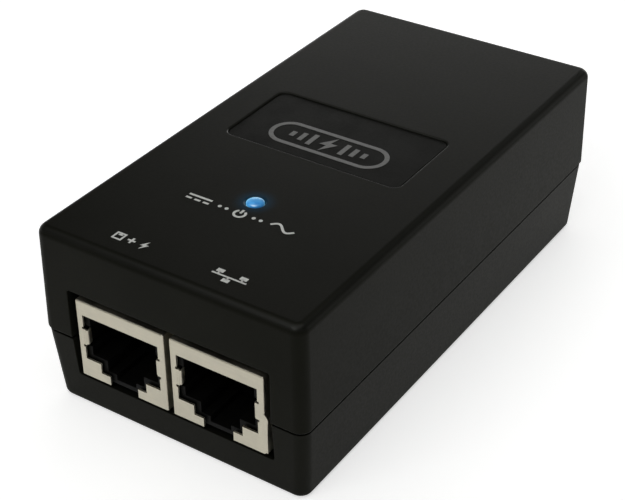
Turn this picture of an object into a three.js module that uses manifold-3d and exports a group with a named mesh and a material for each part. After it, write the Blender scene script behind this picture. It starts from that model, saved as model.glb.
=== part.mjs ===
// Mains adapter that feeds power into an ethernet cable: a two-part plastic case with a pair of
// shielded 8P8C sockets in the front wall, a mains inlet in the rear wall, a status light in the lid
// and a switching power supply between them.
// Millimetres. Origin at the centre of the underside, +Z up, sockets at -Y, +X to their right.
import * as THREE from "three";
import { mergeVertices } from "three/addons/utils/BufferGeometryUtils.js";
import Module from "manifold-3d";

const wasm = await Module();
wasm.setup();

// ---------------------------------------------------------------- driving dimensions

// Each shell is drafted: full width and length at the seam and at its far end.
const HEIGHT = 30.3;
const SEAM_Z = 12.65;
const SEAM_GAP = 0.35;
const LOWER = { z0: 0, z1: SEAM_Z - SEAM_GAP / 2, size0: [44.0, 84.0], size1: [45.5, 86.0] };
const UPPER = { z0: SEAM_Z + SEAM_GAP / 2, z1: HEIGHT, size0: [45.9, 86.4], size1: [45.2, 86.1] };
const WALL = 2.0;
const CORNER_R = 1.9;
const INNER_CORNER_R = 0.6;
const BOTTOM_FILLET = 1.0;
const TOP_FILLET = 1.45;
const LIP_FILLET = 0.3;
const FLOOR_Z = 2.0;
const CEILING_Z = HEIGHT - 2.0;

// Tongue of the lower case inside the rebate of the upper case.
const TONGUE = { inset: 1.25, rebateInset: 0.95, height: 1.5, clearance: 0.3, end: 0.45 };

// Circuit board.
const BOARD = { top: 6.54, thickness: 1.6, halfX: 20.0, halfY: 40.2 };
const BOARD_BOTTOM = BOARD.top - BOARD.thickness;
const LEG_END_Z = BOARD_BOTTOM - 1.1;

// Sockets: metal frame 15.8 x 13.3, side by side, the pair a little left of the middle.
const SOCKET = { width: 15.8, height: 13.3, depth: 18.5, sheet: 0.3, faceY: -42.75 };
const SOCKET_PITCH = 16.8;
const SOCKET_PAIR_X = -0.15;
const SOCKET_OPENING = { halfX: 17.4, z0: 5.8, z1: 21.2 };
const PLUG_CAVITY = { halfX: 5.95, z0: 3.8, z1: 10.4, y1: 13.6 };
const CONTACTS = 8;
const CONTACT_PITCH = 1.02;
const CONTACT_WIDTH = 0.42;
const CONTACT_THICKNESS = 0.3;
const HAIRPIN = { y: 2.75, z: 10.95, radius: 0.35 };
const ARM_SLOPE = 21.5;
const ARM_LENGTH = 9.2;

// Mains inlet: three round pins in a three-lobed cavity.
const INLET = { halfX: 9.9, z0: 6.8, z1: 22.6, y0: 28.5, faceY: 42.95, cavityY: 31.3, centreZ: 14.2 };
const INLET_LOBE_R = 4.0;
const INLET_PIN_R = 1.15;
const INLET_PINS = { line: [-4.0, -1.7], neutral: [4.0, -1.7], earth: [0, 2.9] };

// Case screws, driven up from wells in the underside.
const SCREW_PLACES = [[-16.8, -19.5], [16.8, -19.5], [-16.8, 37.0], [16.8, 37.0]];
const SCREW = { headR: 2.75, headZ0: 1.2, headZ1: 3.3, shankR: 1.25, tipZ: 18.0 };
const WELL_R = 3.1;
const WELL_Z = 3.4;
const LOWER_BOSS = { r: 4.2, top: 8.0, holeR: 1.6 };
const UPPER_BOSS = { r: 3.2, bottom: 8.3, holeR: 1.55, holeTop: 20.0 };

// Posts that hold the board off the floor.
const POST_PLACES = [[-8.25, -38.6], [8.25, -38.6], [-18.6, 10], [18.6, 19], [-11.5, 31], [11.5, 31]];
const POST = { r: 1.2, gap: 0.12 };

// Rib behind the front wall of the upper case: it frames the sockets and holds them down.
const SOCKET_RIB = { y0: -38.6, y1: -37.4, halfX: 19.9, z0: 7.0, gapHalfX: 17.1, gapTop: 20.15 };

// Lid features.
const POCKET = { x: -0.3, y: 0.7, width: 30.8, length: 15.8, radius: 1.4, depth: 0.5 };
const LABEL = { thickness: 0.28, clearance: 0.08, lift: 0.02 };
const LIGHT = { x: 0, y: -21.2, r: 1.35, flangeR: 1.9, flangeZ: 27.0, domeZ: 30.15, domeHeight: 0.4 };
const LIGHT_HOLE_R = 1.45;
const LIGHT_LEG_X = 1.27;

// Smoothness of round features.
const ROUND = 24;
const ROUND_SMALL = 16;
const CORNER_STEPS = 5;
const FILLET_STEPS = 4;

// ---------------------------------------------------------------- solids from three.js geometry

// A closed geometry as a solid that can be joined and cut.
function solidOf(geometry) {
  geometry.deleteAttribute("normal");
  geometry.deleteAttribute("uv");
  const merged = mergeVertices(geometry, 1e-4);
  return new wasm.Manifold(
    new wasm.Mesh({
      numProp: 3,
      vertProperties: merged.attributes.position.array,
      triVerts: Uint32Array.from(merged.index.array),
    }),
  );
}

// A named mesh in its own material, made from a solid.
function meshOf(name, solid, finish) {
  const { vertProperties, triVerts } = solid.getMesh();
  const geometry = new THREE.BufferGeometry();
  geometry.setAttribute("position", new THREE.BufferAttribute(vertProperties, 3));
  geometry.setIndex(new THREE.BufferAttribute(triVerts, 1));
  geometry.computeVertexNormals();
  const mesh = new THREE.Mesh(geometry, new THREE.MeshStandardMaterial(finish));
  mesh.name = name;
  return mesh;
}

function joined(solids) {
  return solids.reduce((sum, solid) => sum.add(solid));
}

// A box between its lowest and highest corner.
function block([x0, y0, z0], [x1, y1, z1]) {
  const geometry = new THREE.BoxGeometry(x1 - x0, y1 - y0, z1 - z0);
  geometry.translate((x0 + x1) / 2, (y0 + y1) / 2, (z0 + z1) / 2);
  return solidOf(geometry);
}

// A cylinder along Z, and one along Y.
function rod(radius, z0, z1, x = 0, y = 0, sides = ROUND) {
  const geometry = new THREE.CylinderGeometry(radius, radius, z1 - z0, sides);
  geometry.rotateX(Math.PI / 2);
  geometry.translate(x, y, (z0 + z1) / 2);
  return solidOf(geometry);
}

function rodAlongY(radius, y0, y1, x, z, sides = ROUND) {
  const geometry = new THREE.CylinderGeometry(radius, radius, y1 - y0, sides);
  geometry.translate(x, (y0 + y1) / 2, z);
  return solidOf(geometry);
}

// A turned piece: the profile is [radius, z] pairs from the axis at the bottom to the axis at the top.
function turned(profile, sides = ROUND) {
  const points = profile.map(([radius, z]) => new THREE.Vector2(radius, z));
  const geometry = new THREE.LatheGeometry(points, sides);
  geometry.rotateX(Math.PI / 2);
  return solidOf(geometry);
}

// Prisms of an outline: along Z (outline in X, Y), along Y (outline in X, Z), along X (outline in Y, Z).
function extruded(shape, depth) {
  return new THREE.ExtrudeGeometry(shape, { depth, bevelEnabled: false, curveSegments: 6 });
}

function prismAlongZ(shape, z0, z1) {
  const geometry = extruded(shape, z1 - z0);
  geometry.translate(0, 0, z0);
  return solidOf(geometry);
}

function prismAlongY(shape, y0, y1) {
  const geometry = extruded(shape, y1 - y0);
  geometry.rotateX(Math.PI / 2);
  geometry.translate(0, y1, 0);
  return solidOf(geometry);
}

function prismAlongX(shape, x0, x1) {
  const geometry = extruded(shape, x1 - x0);
  geometry.rotateX(Math.PI / 2);
  geometry.rotateZ(Math.PI / 2);
  geometry.translate(x0, 0, 0);
  return solidOf(geometry);
}

function outlineOf(points) {
  return new THREE.Shape(points.map(([u, v]) => new THREE.Vector2(u, v)));
}

function roundedOutline(u0, v0, u1, v1, r) {
  const shape = new THREE.Shape();
  shape.absarc(u1 - r, v0 + r, r, -Math.PI / 2, 0);
  shape.absarc(u1 - r, v1 - r, r, 0, Math.PI / 2);
  shape.absarc(u0 + r, v1 - r, r, Math.PI / 2, Math.PI);
  shape.absarc(u0 + r, v0 + r, r, Math.PI, Math.PI * 1.5);
  return shape;
}

// Outline of a strip of even thickness that follows a line of points.
function stripOutline(points, thickness) {
  const line = points.map(([u, v]) => new THREE.Vector2(u, v));
  const heading = (i) => line[i + 1].clone().sub(line[i]).normalize();
  const side = (sign) =>
    line.map((point, i) => {
      const before = heading(Math.max(i - 1, 0));
      const after = heading(Math.min(i, line.length - 2));
      const middle = before.clone().add(after).normalize();
      const reach = (sign * thickness) / 2 / middle.dot(after);
      return new THREE.Vector2(point.x - middle.y * reach, point.y + middle.x * reach);
    });
  return new THREE.Shape([...side(1), ...side(-1).reverse()]);
}

// A solid through rounded-rectangle sections, each { z, half: [x, y], radius }, from the bottom up.
function loft(sections) {
  const positions = [];
  const perRing = 4 * (CORNER_STEPS + 1);
  for (const { z, half, radius } of sections) {
    for (let corner = 0; corner < 4; corner++) {
      const signX = corner === 0 || corner === 3 ? 1 : -1;
      const signY = corner < 2 ? 1 : -1;
      for (let step = 0; step <= CORNER_STEPS; step++) {
        const angle = (Math.PI / 2) * (corner + step / CORNER_STEPS);
        const x = signX * (half[0] - radius) + radius * Math.cos(angle);
        const y = signY * (half[1] - radius) + radius * Math.sin(angle);
        positions.push(x, y, z);
      }
    }
  }
  const indices = [];
  for (let ring = 0; ring < sections.length - 1; ring++) {
    for (let i = 0; i < perRing; i++) {
      const a = ring * perRing + i;
      const b = ring * perRing + ((i + 1) % perRing);
      indices.push(a, b, b + perRing, a, b + perRing, a + perRing);
    }
  }
  const last = (sections.length - 1) * perRing;
  for (let i = 1; i < perRing - 1; i++) {
    indices.push(0, i + 1, i);
    indices.push(last, last + i, last + i + 1);
  }
  const geometry = new THREE.BufferGeometry();
  geometry.setAttribute("position", new THREE.Float32BufferAttribute(positions, 3));
  geometry.setIndex(indices);
  return solidOf(geometry);
}

// Half width and half length of a drafted shell at a height.
function halfAt(shell, z) {
  const share = (z - shell.z0) / (shell.z1 - shell.z0);
  return [0, 1].map((k) => THREE.MathUtils.lerp(shell.size0[k], shell.size1[k], share) / 2);
}

function sectionAt(shell, z, inset, radius) {
  const half = halfAt(shell, z).map((length) => length - inset);
  return { z, half, radius };
}

// The outside of a drafted shell with its bottom and top edges rounded.
function outside(shell, bottomR, topR) {
  const sections = [];
  for (let i = 0; i <= FILLET_STEPS; i++) {
    const angle = (Math.PI / 2) * (i / FILLET_STEPS);
    const inset = bottomR * (1 - Math.sin(angle));
    const z = shell.z0 + bottomR * (1 - Math.cos(angle));
    sections.push(sectionAt(shell, z, inset, CORNER_R - inset));
  }
  for (let i = FILLET_STEPS; topR > 0 ? i >= 0 : i === FILLET_STEPS; i--) {
    const angle = (Math.PI / 2) * (i / FILLET_STEPS);
    const inset = topR * (1 - Math.sin(angle));
    const z = shell.z1 - topR * (1 - Math.cos(angle));
    sections.push(sectionAt(shell, z, inset, CORNER_R - inset));
  }
  return loft(sections);
}

// A straight-sided block that follows a shell's plan at one height, set in by an inset.
function planBlock(shell, planZ, inset, radius, z0, z1) {
  const { half } = sectionAt(shell, planZ, inset, radius);
  return loft([{ z: z0, half, radius }, { z: z1, half, radius }]);
}

// ---------------------------------------------------------------- assembly

const assembly = new THREE.Group();
const boardHoles = [];

// Puts a piece on the board at x, y. Its legs, [x, y, halfX, halfY] from its own centre, get holes.
function placeOnBoard(mesh, x, y, legs) {
  mesh.position.set(x, y, BOARD.top);
  for (const [legX, legY, halfX, halfY] of legs) {
    boardHoles.push([x + legX, y + legY, halfX + 0.2, halfY + 0.2]);
  }
  assembly.add(mesh);
}

// A straight leg of square wire, in a piece's own frame with the board's top at zero.
const LEG_HALF = 0.3;
function leg(x, y, top, halfX = LEG_HALF, halfY = LEG_HALF) {
  const z0 = LEG_END_Z - BOARD.top;
  return block([x - halfX, y - halfY, z0], [x + halfX, y + halfY, top]);
}

// ---------------------------------------------------------------- case

const BLACK_PLASTIC = { color: 0x1d1d1b, roughness: 0.55, metalness: 0 };
const INLET_CLEARANCE = 0.35;

// The openings in the front and rear walls, each widened by a margin.
function socketCut(margin) {
  const { halfX, z0, z1 } = SOCKET_OPENING;
  return block([-halfX - margin, -45, z0], [halfX + margin, -40, z1]);
}

function inletCut(margin) {
  const halfX = INLET.halfX + INLET_CLEARANCE + margin;
  return block([-halfX, 40, INLET.z0 - INLET_CLEARANCE], [halfX, 45, INLET.z1 + INLET_CLEARANCE]);
}

function lowerCase() {
  const rim = LOWER.z1;
  const cavity = loft([
    sectionAt(LOWER, FLOOR_Z, WALL, INNER_CORNER_R),
    sectionAt(LOWER, rim + 1, WALL, INNER_CORNER_R),
  ]);
  const tongueOuter = planBlock(LOWER, rim, TONGUE.inset, 0.8, rim - 0.5, rim + TONGUE.height);
  const tongueInner = planBlock(LOWER, rim, WALL, INNER_CORNER_R, rim - 1, rim + TONGUE.height + 1);
  const openings = socketCut(0).add(inletCut(0));
  // The tongue stops short of the two openings.
  const tongueEnds = socketCut(TONGUE.end).add(inletCut(TONGUE.end));
  const tongue = tongueOuter.subtract(tongueInner).subtract(tongueEnds);
  let shell = outside(LOWER, BOTTOM_FILLET, 0).subtract(cavity).subtract(openings).add(tongue);
  for (const [x, y] of SCREW_PLACES) {
    shell = shell.add(rod(LOWER_BOSS.r, FLOOR_Z - 1, LOWER_BOSS.top, x, y));
    shell = shell.subtract(rod(WELL_R, -1, WELL_Z, x, y));
    shell = shell.subtract(rod(LOWER_BOSS.holeR, WELL_Z - 1, LOWER_BOSS.top + 1, x, y, ROUND_SMALL));
  }
  for (const [x, y] of POST_PLACES) {
    shell = shell.add(rod(POST.r, FLOOR_Z - 0.5, BOARD_BOTTOM - POST.gap, x, y, 12));
  }
  return meshOf("lower_case", shell, BLACK_PLASTIC);
}

function upperCase() {
  const rim = UPPER.z0;
  const wallAtRim = WALL + (UPPER.size0[0] - LOWER.size1[0]) / 2;
  const cavity = loft([
    sectionAt(UPPER, rim - 1, wallAtRim, INNER_CORNER_R),
    sectionAt(UPPER, CEILING_Z, WALL, INNER_CORNER_R),
  ]);
  const rebateTop = LOWER.z1 + TONGUE.height + TONGUE.clearance;
  const rebate = planBlock(LOWER, LOWER.z1, TONGUE.rebateInset, 1.1, rim - 1, rebateTop);
  let shell = outside(UPPER, LIP_FILLET, TOP_FILLET).subtract(cavity).subtract(rebate);
  for (const [x, y] of SCREW_PLACES) {
    const { r, bottom, holeR, holeTop } = UPPER_BOSS;
    shell = shell.add(rod(r, bottom, CEILING_Z + 0.5, x, y));
    shell = shell.subtract(rod(holeR, bottom - 1, holeTop, x, y, ROUND_SMALL));
  }
  const { x, y, width, length, radius, depth } = POCKET;
  const pocket = roundedOutline(x - width / 2, y - length / 2, x + width / 2, y + length / 2, radius);
  shell = shell.subtract(prismAlongZ(pocket, HEIGHT - depth, HEIGHT + 1));
  shell = shell.subtract(rod(LIGHT_HOLE_R, CEILING_Z - 1, HEIGHT + 1, LIGHT.x, LIGHT.y));
  shell = shell.subtract(socketCut(0)).subtract(inletCut(0));
  const rib = SOCKET_RIB;
  const ribPlate = block([-rib.halfX, rib.y0, rib.z0], [rib.halfX, rib.y1, CEILING_Z + 0.5]);
  const ribGap = block([-rib.gapHalfX, rib.y0 - 1, rib.z0 - 1], [rib.gapHalfX, rib.y1 + 1, rib.gapTop]);
  shell = shell.add(ribPlate.subtract(ribGap));
  return meshOf("upper_case", shell, BLACK_PLASTIC);
}

function badgeLabel() {
  const { x, y, width, length, radius, depth } = POCKET;
  const halfX = width / 2 - LABEL.clearance;
  const halfY = length / 2 - LABEL.clearance;
  const r = radius - LABEL.clearance;
  const z0 = HEIGHT - depth + LABEL.lift;
  const outline = roundedOutline(x - halfX, y - halfY, x + halfX, y + halfY, r);
  const solid = prismAlongZ(outline, z0, z0 + LABEL.thickness);
  return meshOf("badge_label", solid, { color: 0x1b1c1b, roughness: 0.35, metalness: 0 });
}

// Pan-head self-tapping screw, head down, with a cross recess.
function caseScrew(index, [x, y]) {
  const { headR, headZ0, headZ1, shankR, tipZ } = SCREW;
  const profile = [
    [0, headZ0],
    [headR - 0.7, headZ0],
    [headR - 0.15, headZ0 + 0.5],
    [headR, headZ0 + 1.1],
    [headR, headZ1],
    [shankR, headZ1],
    [shankR, tipZ - 2.0],
    [0, tipZ],
  ];
  const slot = { halfWidth: 0.4, halfLength: 1.6, depth: 1.3 };
  const z1 = headZ0 + slot.depth;
  const cross = block([-slot.halfLength, -slot.halfWidth, 0], [slot.halfLength, slot.halfWidth, z1]).add(
    block([-slot.halfWidth, -slot.halfLength, 0], [slot.halfWidth, slot.halfLength, z1]),
  );
  const solid = turned(profile, ROUND_SMALL).subtract(cross);
  const mesh = meshOf("case_screw_" + (index + 1), solid, { color: 0x8a8d90, roughness: 0.35, metalness: 1 });
  mesh.position.set(x, y, 0);
  return mesh;
}

const BLUE_LENS = { color: 0x3f8fd0, roughness: 0.15, metalness: 0 };
const TINNED_LEG = { color: 0xb8bcc0, roughness: 0.3, metalness: 1 };

function statusLight() {
  const light = new THREE.Group();
  light.position.set(LIGHT.x, LIGHT.y, 0);
  const profile = [
    [0, LIGHT.flangeZ],
    [LIGHT.flangeR, LIGHT.flangeZ],
    [LIGHT.flangeR, LIGHT.flangeZ + 1.0],
    [LIGHT.r, LIGHT.flangeZ + 1.0],
  ];
  const domeSteps = 5;
  for (let i = 0; i <= domeSteps; i++) {
    const angle = (Math.PI / 2) * (i / domeSteps);
    const radius = i === domeSteps ? 0 : LIGHT.r * Math.cos(angle);
    profile.push([radius, LIGHT.domeZ + LIGHT.domeHeight * Math.sin(angle)]);
  }
  light.add(meshOf("status_light_lens", turned(profile, 20), BLUE_LENS));
  const top = LIGHT.flangeZ - 0.1;
  for (const [name, x] of [["anode", -LIGHT_LEG_X], ["cathode", LIGHT_LEG_X]]) {
    const solid = block([x - 0.25, -0.25, LEG_END_Z], [x + 0.25, 0.25, top]);
    light.add(meshOf("status_light_" + name + "_leg", solid, TINNED_LEG));
    boardHoles.push([LIGHT.x + x, LIGHT.y, 0.45, 0.45]);
  }
  return light;
}

// ---------------------------------------------------------------- sockets

// A socket's own frame: x across from its middle, y into the case from its face, z up from the board.
const SHIELD = { color: 0xb3aea0, roughness: 0.38, metalness: 0.9 };
const SOCKET_PLASTIC = { color: 0x0c0d0d, roughness: 0.5, metalness: 0 };
const GOLD = { color: 0xc9a24a, roughness: 0.3, metalness: 1 };
const WINDOW = { halfX: 6.8, top: 10.9, sill: 3.15, finger: { z0: 5.65, z1: 8.4, halfX: 6.15 } };
const LATCH_STEP = { halfX: 4.15, z: 1.5 };
const LATCH_SLOT = { halfX: 2.55 };
const LEAF = { top: 6.9, bottom: 0.3, sheet: 0.25, frontLeft: 0.7, frontRight: 0, back: 3.0 };
const HOUSING = { halfX: 7.4, y0: 0.55, y1: 17.9, z0: 0.2, z1: 12.8 };
const PEG = { y0: 8.0, y1: 9.6, end: -2.6 };
const TAIL_ROWS = [15.1, 17.6];
const CARRIER = { halfX: 4.8, front: 3.0, blockY: 14.8, back: 17.9, leadTop: 11.45, top: 12.4 };

function mirrored(points) {
  const right = points.map(([x, z]) => [-x, z]).reverse();
  return [...points, ...right];
}

// Pressed from one sheet: a box open underneath, with a stepped window for plug and latch, a folded
// earth finger on each side of the window, an earth leaf flanged out of the outer side, and two pegs.
function socketShield(name, outerSide) {
  const { width, height, depth, sheet } = SOCKET;
  const halfX = width / 2;
  let solid = block([-halfX, 0, 0], [halfX, depth, height]);
  solid = solid.subtract(block([-halfX + sheet, sheet, -1], [halfX - sheet, depth - sheet, height - sheet]));
  const { finger } = WINDOW;
  const windowHalf = [
    [-LATCH_SLOT.halfX, -1],
    [-LATCH_SLOT.halfX, LATCH_STEP.z],
    [-LATCH_STEP.halfX, LATCH_STEP.z],
    [-LATCH_STEP.halfX, WINDOW.sill],
    [-WINDOW.halfX, WINDOW.sill],
    [-WINDOW.halfX, finger.z0 - 0.4],
    [-finger.halfX, finger.z0],
    [-finger.halfX, finger.z1],
    [-WINDOW.halfX, finger.z1 + 0.4],
    [-WINDOW.halfX, WINDOW.top],
  ];
  solid = solid.subtract(prismAlongY(outlineOf(mirrored(windowHalf)), -1, 1));
  for (const side of [-1, 1]) {
    const path = [
      [side * (finger.halfX + 0.13), 0.1],
      [side * (finger.halfX + 0.13), 1.0],
    ];
    solid = solid.add(prismAlongZ(stripOutline(path, 0.25), finger.z0 + 0.15, finger.z1 - 0.15));
    const x0 = side * halfX - (side > 0 ? sheet : 0);
    solid = solid.add(block([x0, PEG.y0, PEG.end], [x0 + sheet, PEG.y1, 0.5]));
  }
  const leafLine = [
    [outerSide * (halfX - 0.15), LEAF.top],
    [outerSide * (halfX + 0.42), 6.1],
    [outerSide * (halfX + 0.32), 4.9],
    [outerSide * (halfX + 0.32), LEAF.bottom],
  ];
  const leafFront = outerSide > 0 ? LEAF.frontRight : LEAF.frontLeft;
  const flange = [[outerSide * (halfX - 0.15), LEAF.bottom], ...leafLine];
  solid = solid.add(prismAlongY(stripOutline(leafLine, LEAF.sheet), leafFront, LEAF.back));
  solid = solid.add(prismAlongY(outlineOf(flange), leafFront, leafFront + sheet));
  return meshOf(name, solid, SHIELD);
}

// Moulded body with the plug cavity, the latch channel below it and the sled's pocket above it.
function socketHousing(name) {
  const cavity = PLUG_CAVITY;
  const size = HOUSING;
  let solid = block([-size.halfX, size.y0, size.z0], [size.halfX, size.y1, size.z1]);
  const cuts = [
    block([-cavity.halfX, 0, cavity.z0], [cavity.halfX, cavity.y1, cavity.z1]),
    block([-3.3, 0, 1.9], [3.3, 11.0, cavity.z0 + 0.1]),
    block([-1.75, 0, 1.0], [1.75, 8.0, 2.0]),
    block([-7.0, 0, 5.3], [7.0, 5.4, 8.75]),
    block([-CARRIER.halfX - 0.2, 1.9, 11.0], [CARRIER.halfX + 0.2, 18.5, 13.5]),
    block([-CARRIER.halfX - 0.2, CARRIER.blockY - 0.3, -1], [CARRIER.halfX + 0.2, 18.5, 12]),
    block([-4.4, 1.9, cavity.z1 - 0.1], [4.4, 13.2, 11.1]),
  ];
  for (const cut of cuts) solid = solid.subtract(cut);
  // Comb that keeps the tips of the contacts apart.
  const ribHalf = 0.15;
  for (let i = 1; i < CONTACTS; i++) {
    const x = (i - CONTACTS / 2) * CONTACT_PITCH;
    solid = solid.add(block([x - ribHalf, 11.4, 6.4], [x + ribHalf, cavity.y1 + 0.2, cavity.z1 + 0.2]));
  }
  return meshOf(name, solid, SOCKET_PLASTIC);
}

function contactX(index) {
  return (index - (CONTACTS - 1) / 2) * CONTACT_PITCH;
}

// Moulded sled that holds the fixed ends of the contacts and carries their tails to the board.
function contactCarrier(name, socketX) {
  const { halfX, front, blockY, back, leadTop, top } = CARRIER;
  const pieces = [
    block([-halfX, front, leadTop], [halfX, back, top]),
    block([-halfX, blockY, 0.3], [halfX, back, top - 0.1]),
  ];
  for (let i = 0; i < CONTACTS; i++) {
    const x = contactX(i);
    const halfWidth = CONTACT_WIDTH / 2;
    const leadZ = leadTop - CONTACT_THICKNESS;
    pieces.push(block([x - halfWidth, front + 0.3, leadZ], [x + halfWidth, blockY + 0.5, leadTop + 0.1]));
    const y = TAIL_ROWS[i % 2];
    pieces.push(block([x - halfWidth, y - 0.2, LEG_END_Z - BOARD.top], [x + halfWidth, y + 0.2, 1.0]));
    boardHoles.push([socketX + x, SOCKET.faceY + y, 0.4, 0.4]);
  }
  return meshOf(name, joined(pieces), { color: 0x191a1a, roughness: 0.5, metalness: 0 });
}

// Spring arm of one contact: a hairpin at the front of the ceiling, then a straight arm that slopes
// down and back across the plug cavity, with its tip turned up.
function springContact(name, index) {
  const path = [];
  const arcSteps = 5;
  const startAngle = 60;
  const endAngle = 270 - ARM_SLOPE;
  for (let i = 0; i <= arcSteps; i++) {
    const angle = THREE.MathUtils.degToRad(THREE.MathUtils.lerp(startAngle, endAngle, i / arcSteps));
    path.push([
      HAIRPIN.y + HAIRPIN.radius * Math.cos(angle),
      HAIRPIN.z + HAIRPIN.radius * Math.sin(angle),
    ]);
  }
  const [armY, armZ] = path[arcSteps];
  const slope = THREE.MathUtils.degToRad(ARM_SLOPE);
  const tip = [armY + ARM_LENGTH * Math.cos(slope), armZ - ARM_LENGTH * Math.sin(slope)];
  path.push(tip, [tip[0] + 0.75, tip[1] + 0.05]);
  const x = contactX(index);
  const outline = stripOutline(path, CONTACT_THICKNESS);
  const solid = prismAlongX(outline, x - CONTACT_WIDTH / 2, x + CONTACT_WIDTH / 2);
  return meshOf(name, solid, GOLD);
}

function socket(prefix, outerSide) {
  const group = new THREE.Group();
  const x = SOCKET_PAIR_X + (outerSide * SOCKET_PITCH) / 2;
  group.position.set(x, SOCKET.faceY, BOARD.top);
  group.add(socketShield(prefix + "_socket_shield", outerSide));
  group.add(socketHousing(prefix + "_socket_housing"));
  group.add(contactCarrier(prefix + "_contact_carrier", x));
  for (let i = 0; i < CONTACTS; i++) group.add(springContact(prefix + "_contact_" + (i + 1), i));
  const pegMiddle = (PEG.y0 + PEG.y1) / 2;
  for (const side of [-1, 1]) {
    boardHoles.push([x + side * (SOCKET.width / 2 - 0.15), SOCKET.faceY + pegMiddle, 0.5, 1.1]);
  }
  return group;
}

// ---------------------------------------------------------------- mains inlet

function inletHousing() {
  const { halfX, z0, z1, y0, faceY, cavityY, centreZ } = INLET;
  let solid = prismAlongY(roundedOutline(-halfX, z0, halfX, z1, 1.2), y0, faceY);
  // Flange trapped behind the rear wall.
  solid = solid.add(prismAlongY(roundedOutline(-halfX - 1.4, z0, halfX + 1.4, z1 + 1.2, 1.2), 39.0, 40.2));
  solid = solid.subtract(rodAlongY(3.0, cavityY, faceY + 1, 0, centreZ));
  for (const [x, dz] of Object.values(INLET_PINS)) {
    solid = solid.subtract(rodAlongY(INLET_LOBE_R, cavityY, faceY + 1, x, centreZ + dz));
    solid = solid.subtract(rodAlongY(INLET_PIN_R + 0.3, y0 - 1, cavityY + 1, x, centreZ + dz, 12));
  }
  return meshOf("inlet_housing", solid, { color: 0x151515, roughness: 0.45, metalness: 0 });
}

// A round pin with a tapered tip and a flat tail that drops through the board.
function inletPin(name, [x, dz]) {
  const z = INLET.centreZ + dz;
  const backY = 26.4;
  const tipY = 40.9;
  const profile = [
    [0, backY],
    [INLET_PIN_R, backY],
    [INLET_PIN_R, tipY - 1.2],
    [INLET_PIN_R - 0.35, tipY - 0.3],
    [0, tipY],
  ];
  const points = profile.map(([radius, y]) => new THREE.Vector2(radius, y));
  const geometry = new THREE.LatheGeometry(points, ROUND_SMALL);
  geometry.translate(x, 0, z);
  const tail = { halfX: 0.9, y0: backY - 0.2, y1: backY + 0.6 };
  const blade = block([x - tail.halfX, tail.y0, LEG_END_Z], [x + tail.halfX, tail.y1, z + 0.6]);
  boardHoles.push([x, (tail.y0 + tail.y1) / 2, tail.halfX + 0.25, 0.65]);
  const finish = { color: 0xc2c4c6, roughness: 0.25, metalness: 1 };
  return meshOf("inlet_pin_" + name, solidOf(geometry).add(blade), finish);
}

// ---------------------------------------------------------------- parts on the board

// Round can with a rounded top edge and a crimp groove, on two legs.
function canCapacitor(name, x, y, radius, height, color) {
  const base = 0.3;
  const profile = [
    [0, base],
    [radius, base],
    [radius, base + 1.4],
    [radius - 0.35, base + 1.8],
    [radius, base + 2.2],
    [radius, height - 0.6],
    [radius - 0.6, height],
    [0, height],
  ];
  const legX = radius * 0.4;
  const solid = joined([turned(profile, ROUND_SMALL), leg(-legX, 0, 1), leg(legX, 0, 1)]);
  const legs = [-legX, legX].map((side) => [side, 0, LEG_HALF, LEG_HALF]);
  placeOnBoard(meshOf(name, solid, { color, roughness: 0.4, metalness: 0.1 }), x, y, legs);
}

// Upright disc, thin along Y, on two legs.
function discPart(name, x, y, radius, thickness, color) {
  const z = radius + 1.6;
  const legX = radius * 0.55;
  const solid = joined([
    rodAlongY(radius, -thickness / 2, thickness / 2, 0, z),
    leg(-legX, 0, z),
    leg(legX, 0, z),
  ]);
  const legs = [-legX, legX].map((side) => [side, 0, LEG_HALF, LEG_HALF]);
  placeOnBoard(meshOf(name, solid, { color, roughness: 0.5, metalness: 0 }), x, y, legs);
}

// Upright cylinder on two legs.
function drumPart(name, x, y, radius, height, color) {
  const base = 0.4;
  const profile = [
    [0, base],
    [radius - 0.3, base],
    [radius, base + 0.3],
    [radius, height - 0.3],
    [radius - 0.3, height],
    [0, height],
  ];
  const legX = radius * 0.6;
  const solid = joined([turned(profile, ROUND_SMALL), leg(-legX, 0, 1), leg(legX, 0, 1)]);
  const legs = [-legX, legX].map((side) => [side, 0, LEG_HALF, LEG_HALF]);
  placeOnBoard(meshOf(name, solid, { color, roughness: 0.5, metalness: 0 }), x, y, legs);
}

// Box-shaped capacitor on two legs.
function boxCapacitor(name, x, y, width, depth, height, color) {
  const outline = roundedOutline(-width / 2, -depth / 2, width / 2, depth / 2, 0.6);
  const legX = width * 0.4;
  const solid = joined([prismAlongZ(outline, 0.3, height), leg(-legX, 0, 1), leg(legX, 0, 1)]);
  const legs = [-legX, legX].map((side) => [side, 0, LEG_HALF, LEG_HALF]);
  placeOnBoard(meshOf(name, solid, { color, roughness: 0.4, metalness: 0 }), x, y, legs);
}

// Chip body with a row of bent legs on each long side.
function dualRowChip(name, x, y, width, length, legsPerSide, pitch) {
  const body = { z0: 0.5, z1: 3.8 };
  const reach = width / 2 + 0.75;
  const pieces = [
    block([-width / 2, -length / 2, body.z0], [width / 2, length / 2, body.z1]),
  ];
  const legs = [];
  for (const side of [-1, 1]) {
    for (let i = 0; i < legsPerSide; i++) {
      const legY = (i - (legsPerSide - 1) / 2) * pitch;
      const [inner, outer] = side > 0 ? [width / 2 - 0.5, reach] : [-reach, -width / 2 + 0.5];
      pieces.push(block([inner, legY - 0.4, 1.9], [outer, legY + 0.4, 2.3]));
      const legX = side * (reach - 0.2);
      pieces.push(leg(legX, legY, 2.2, 0.2, 0.25));
      legs.push([legX, legY, 0.2, 0.25]);
    }
  }
  placeOnBoard(meshOf(name, joined(pieces), { color: 0x17181a, roughness: 0.5, metalness: 0 }), x, y, legs);
}

const FERRITE = { color: 0x2e3133, roughness: 0.6, metalness: 0.1 };

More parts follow.
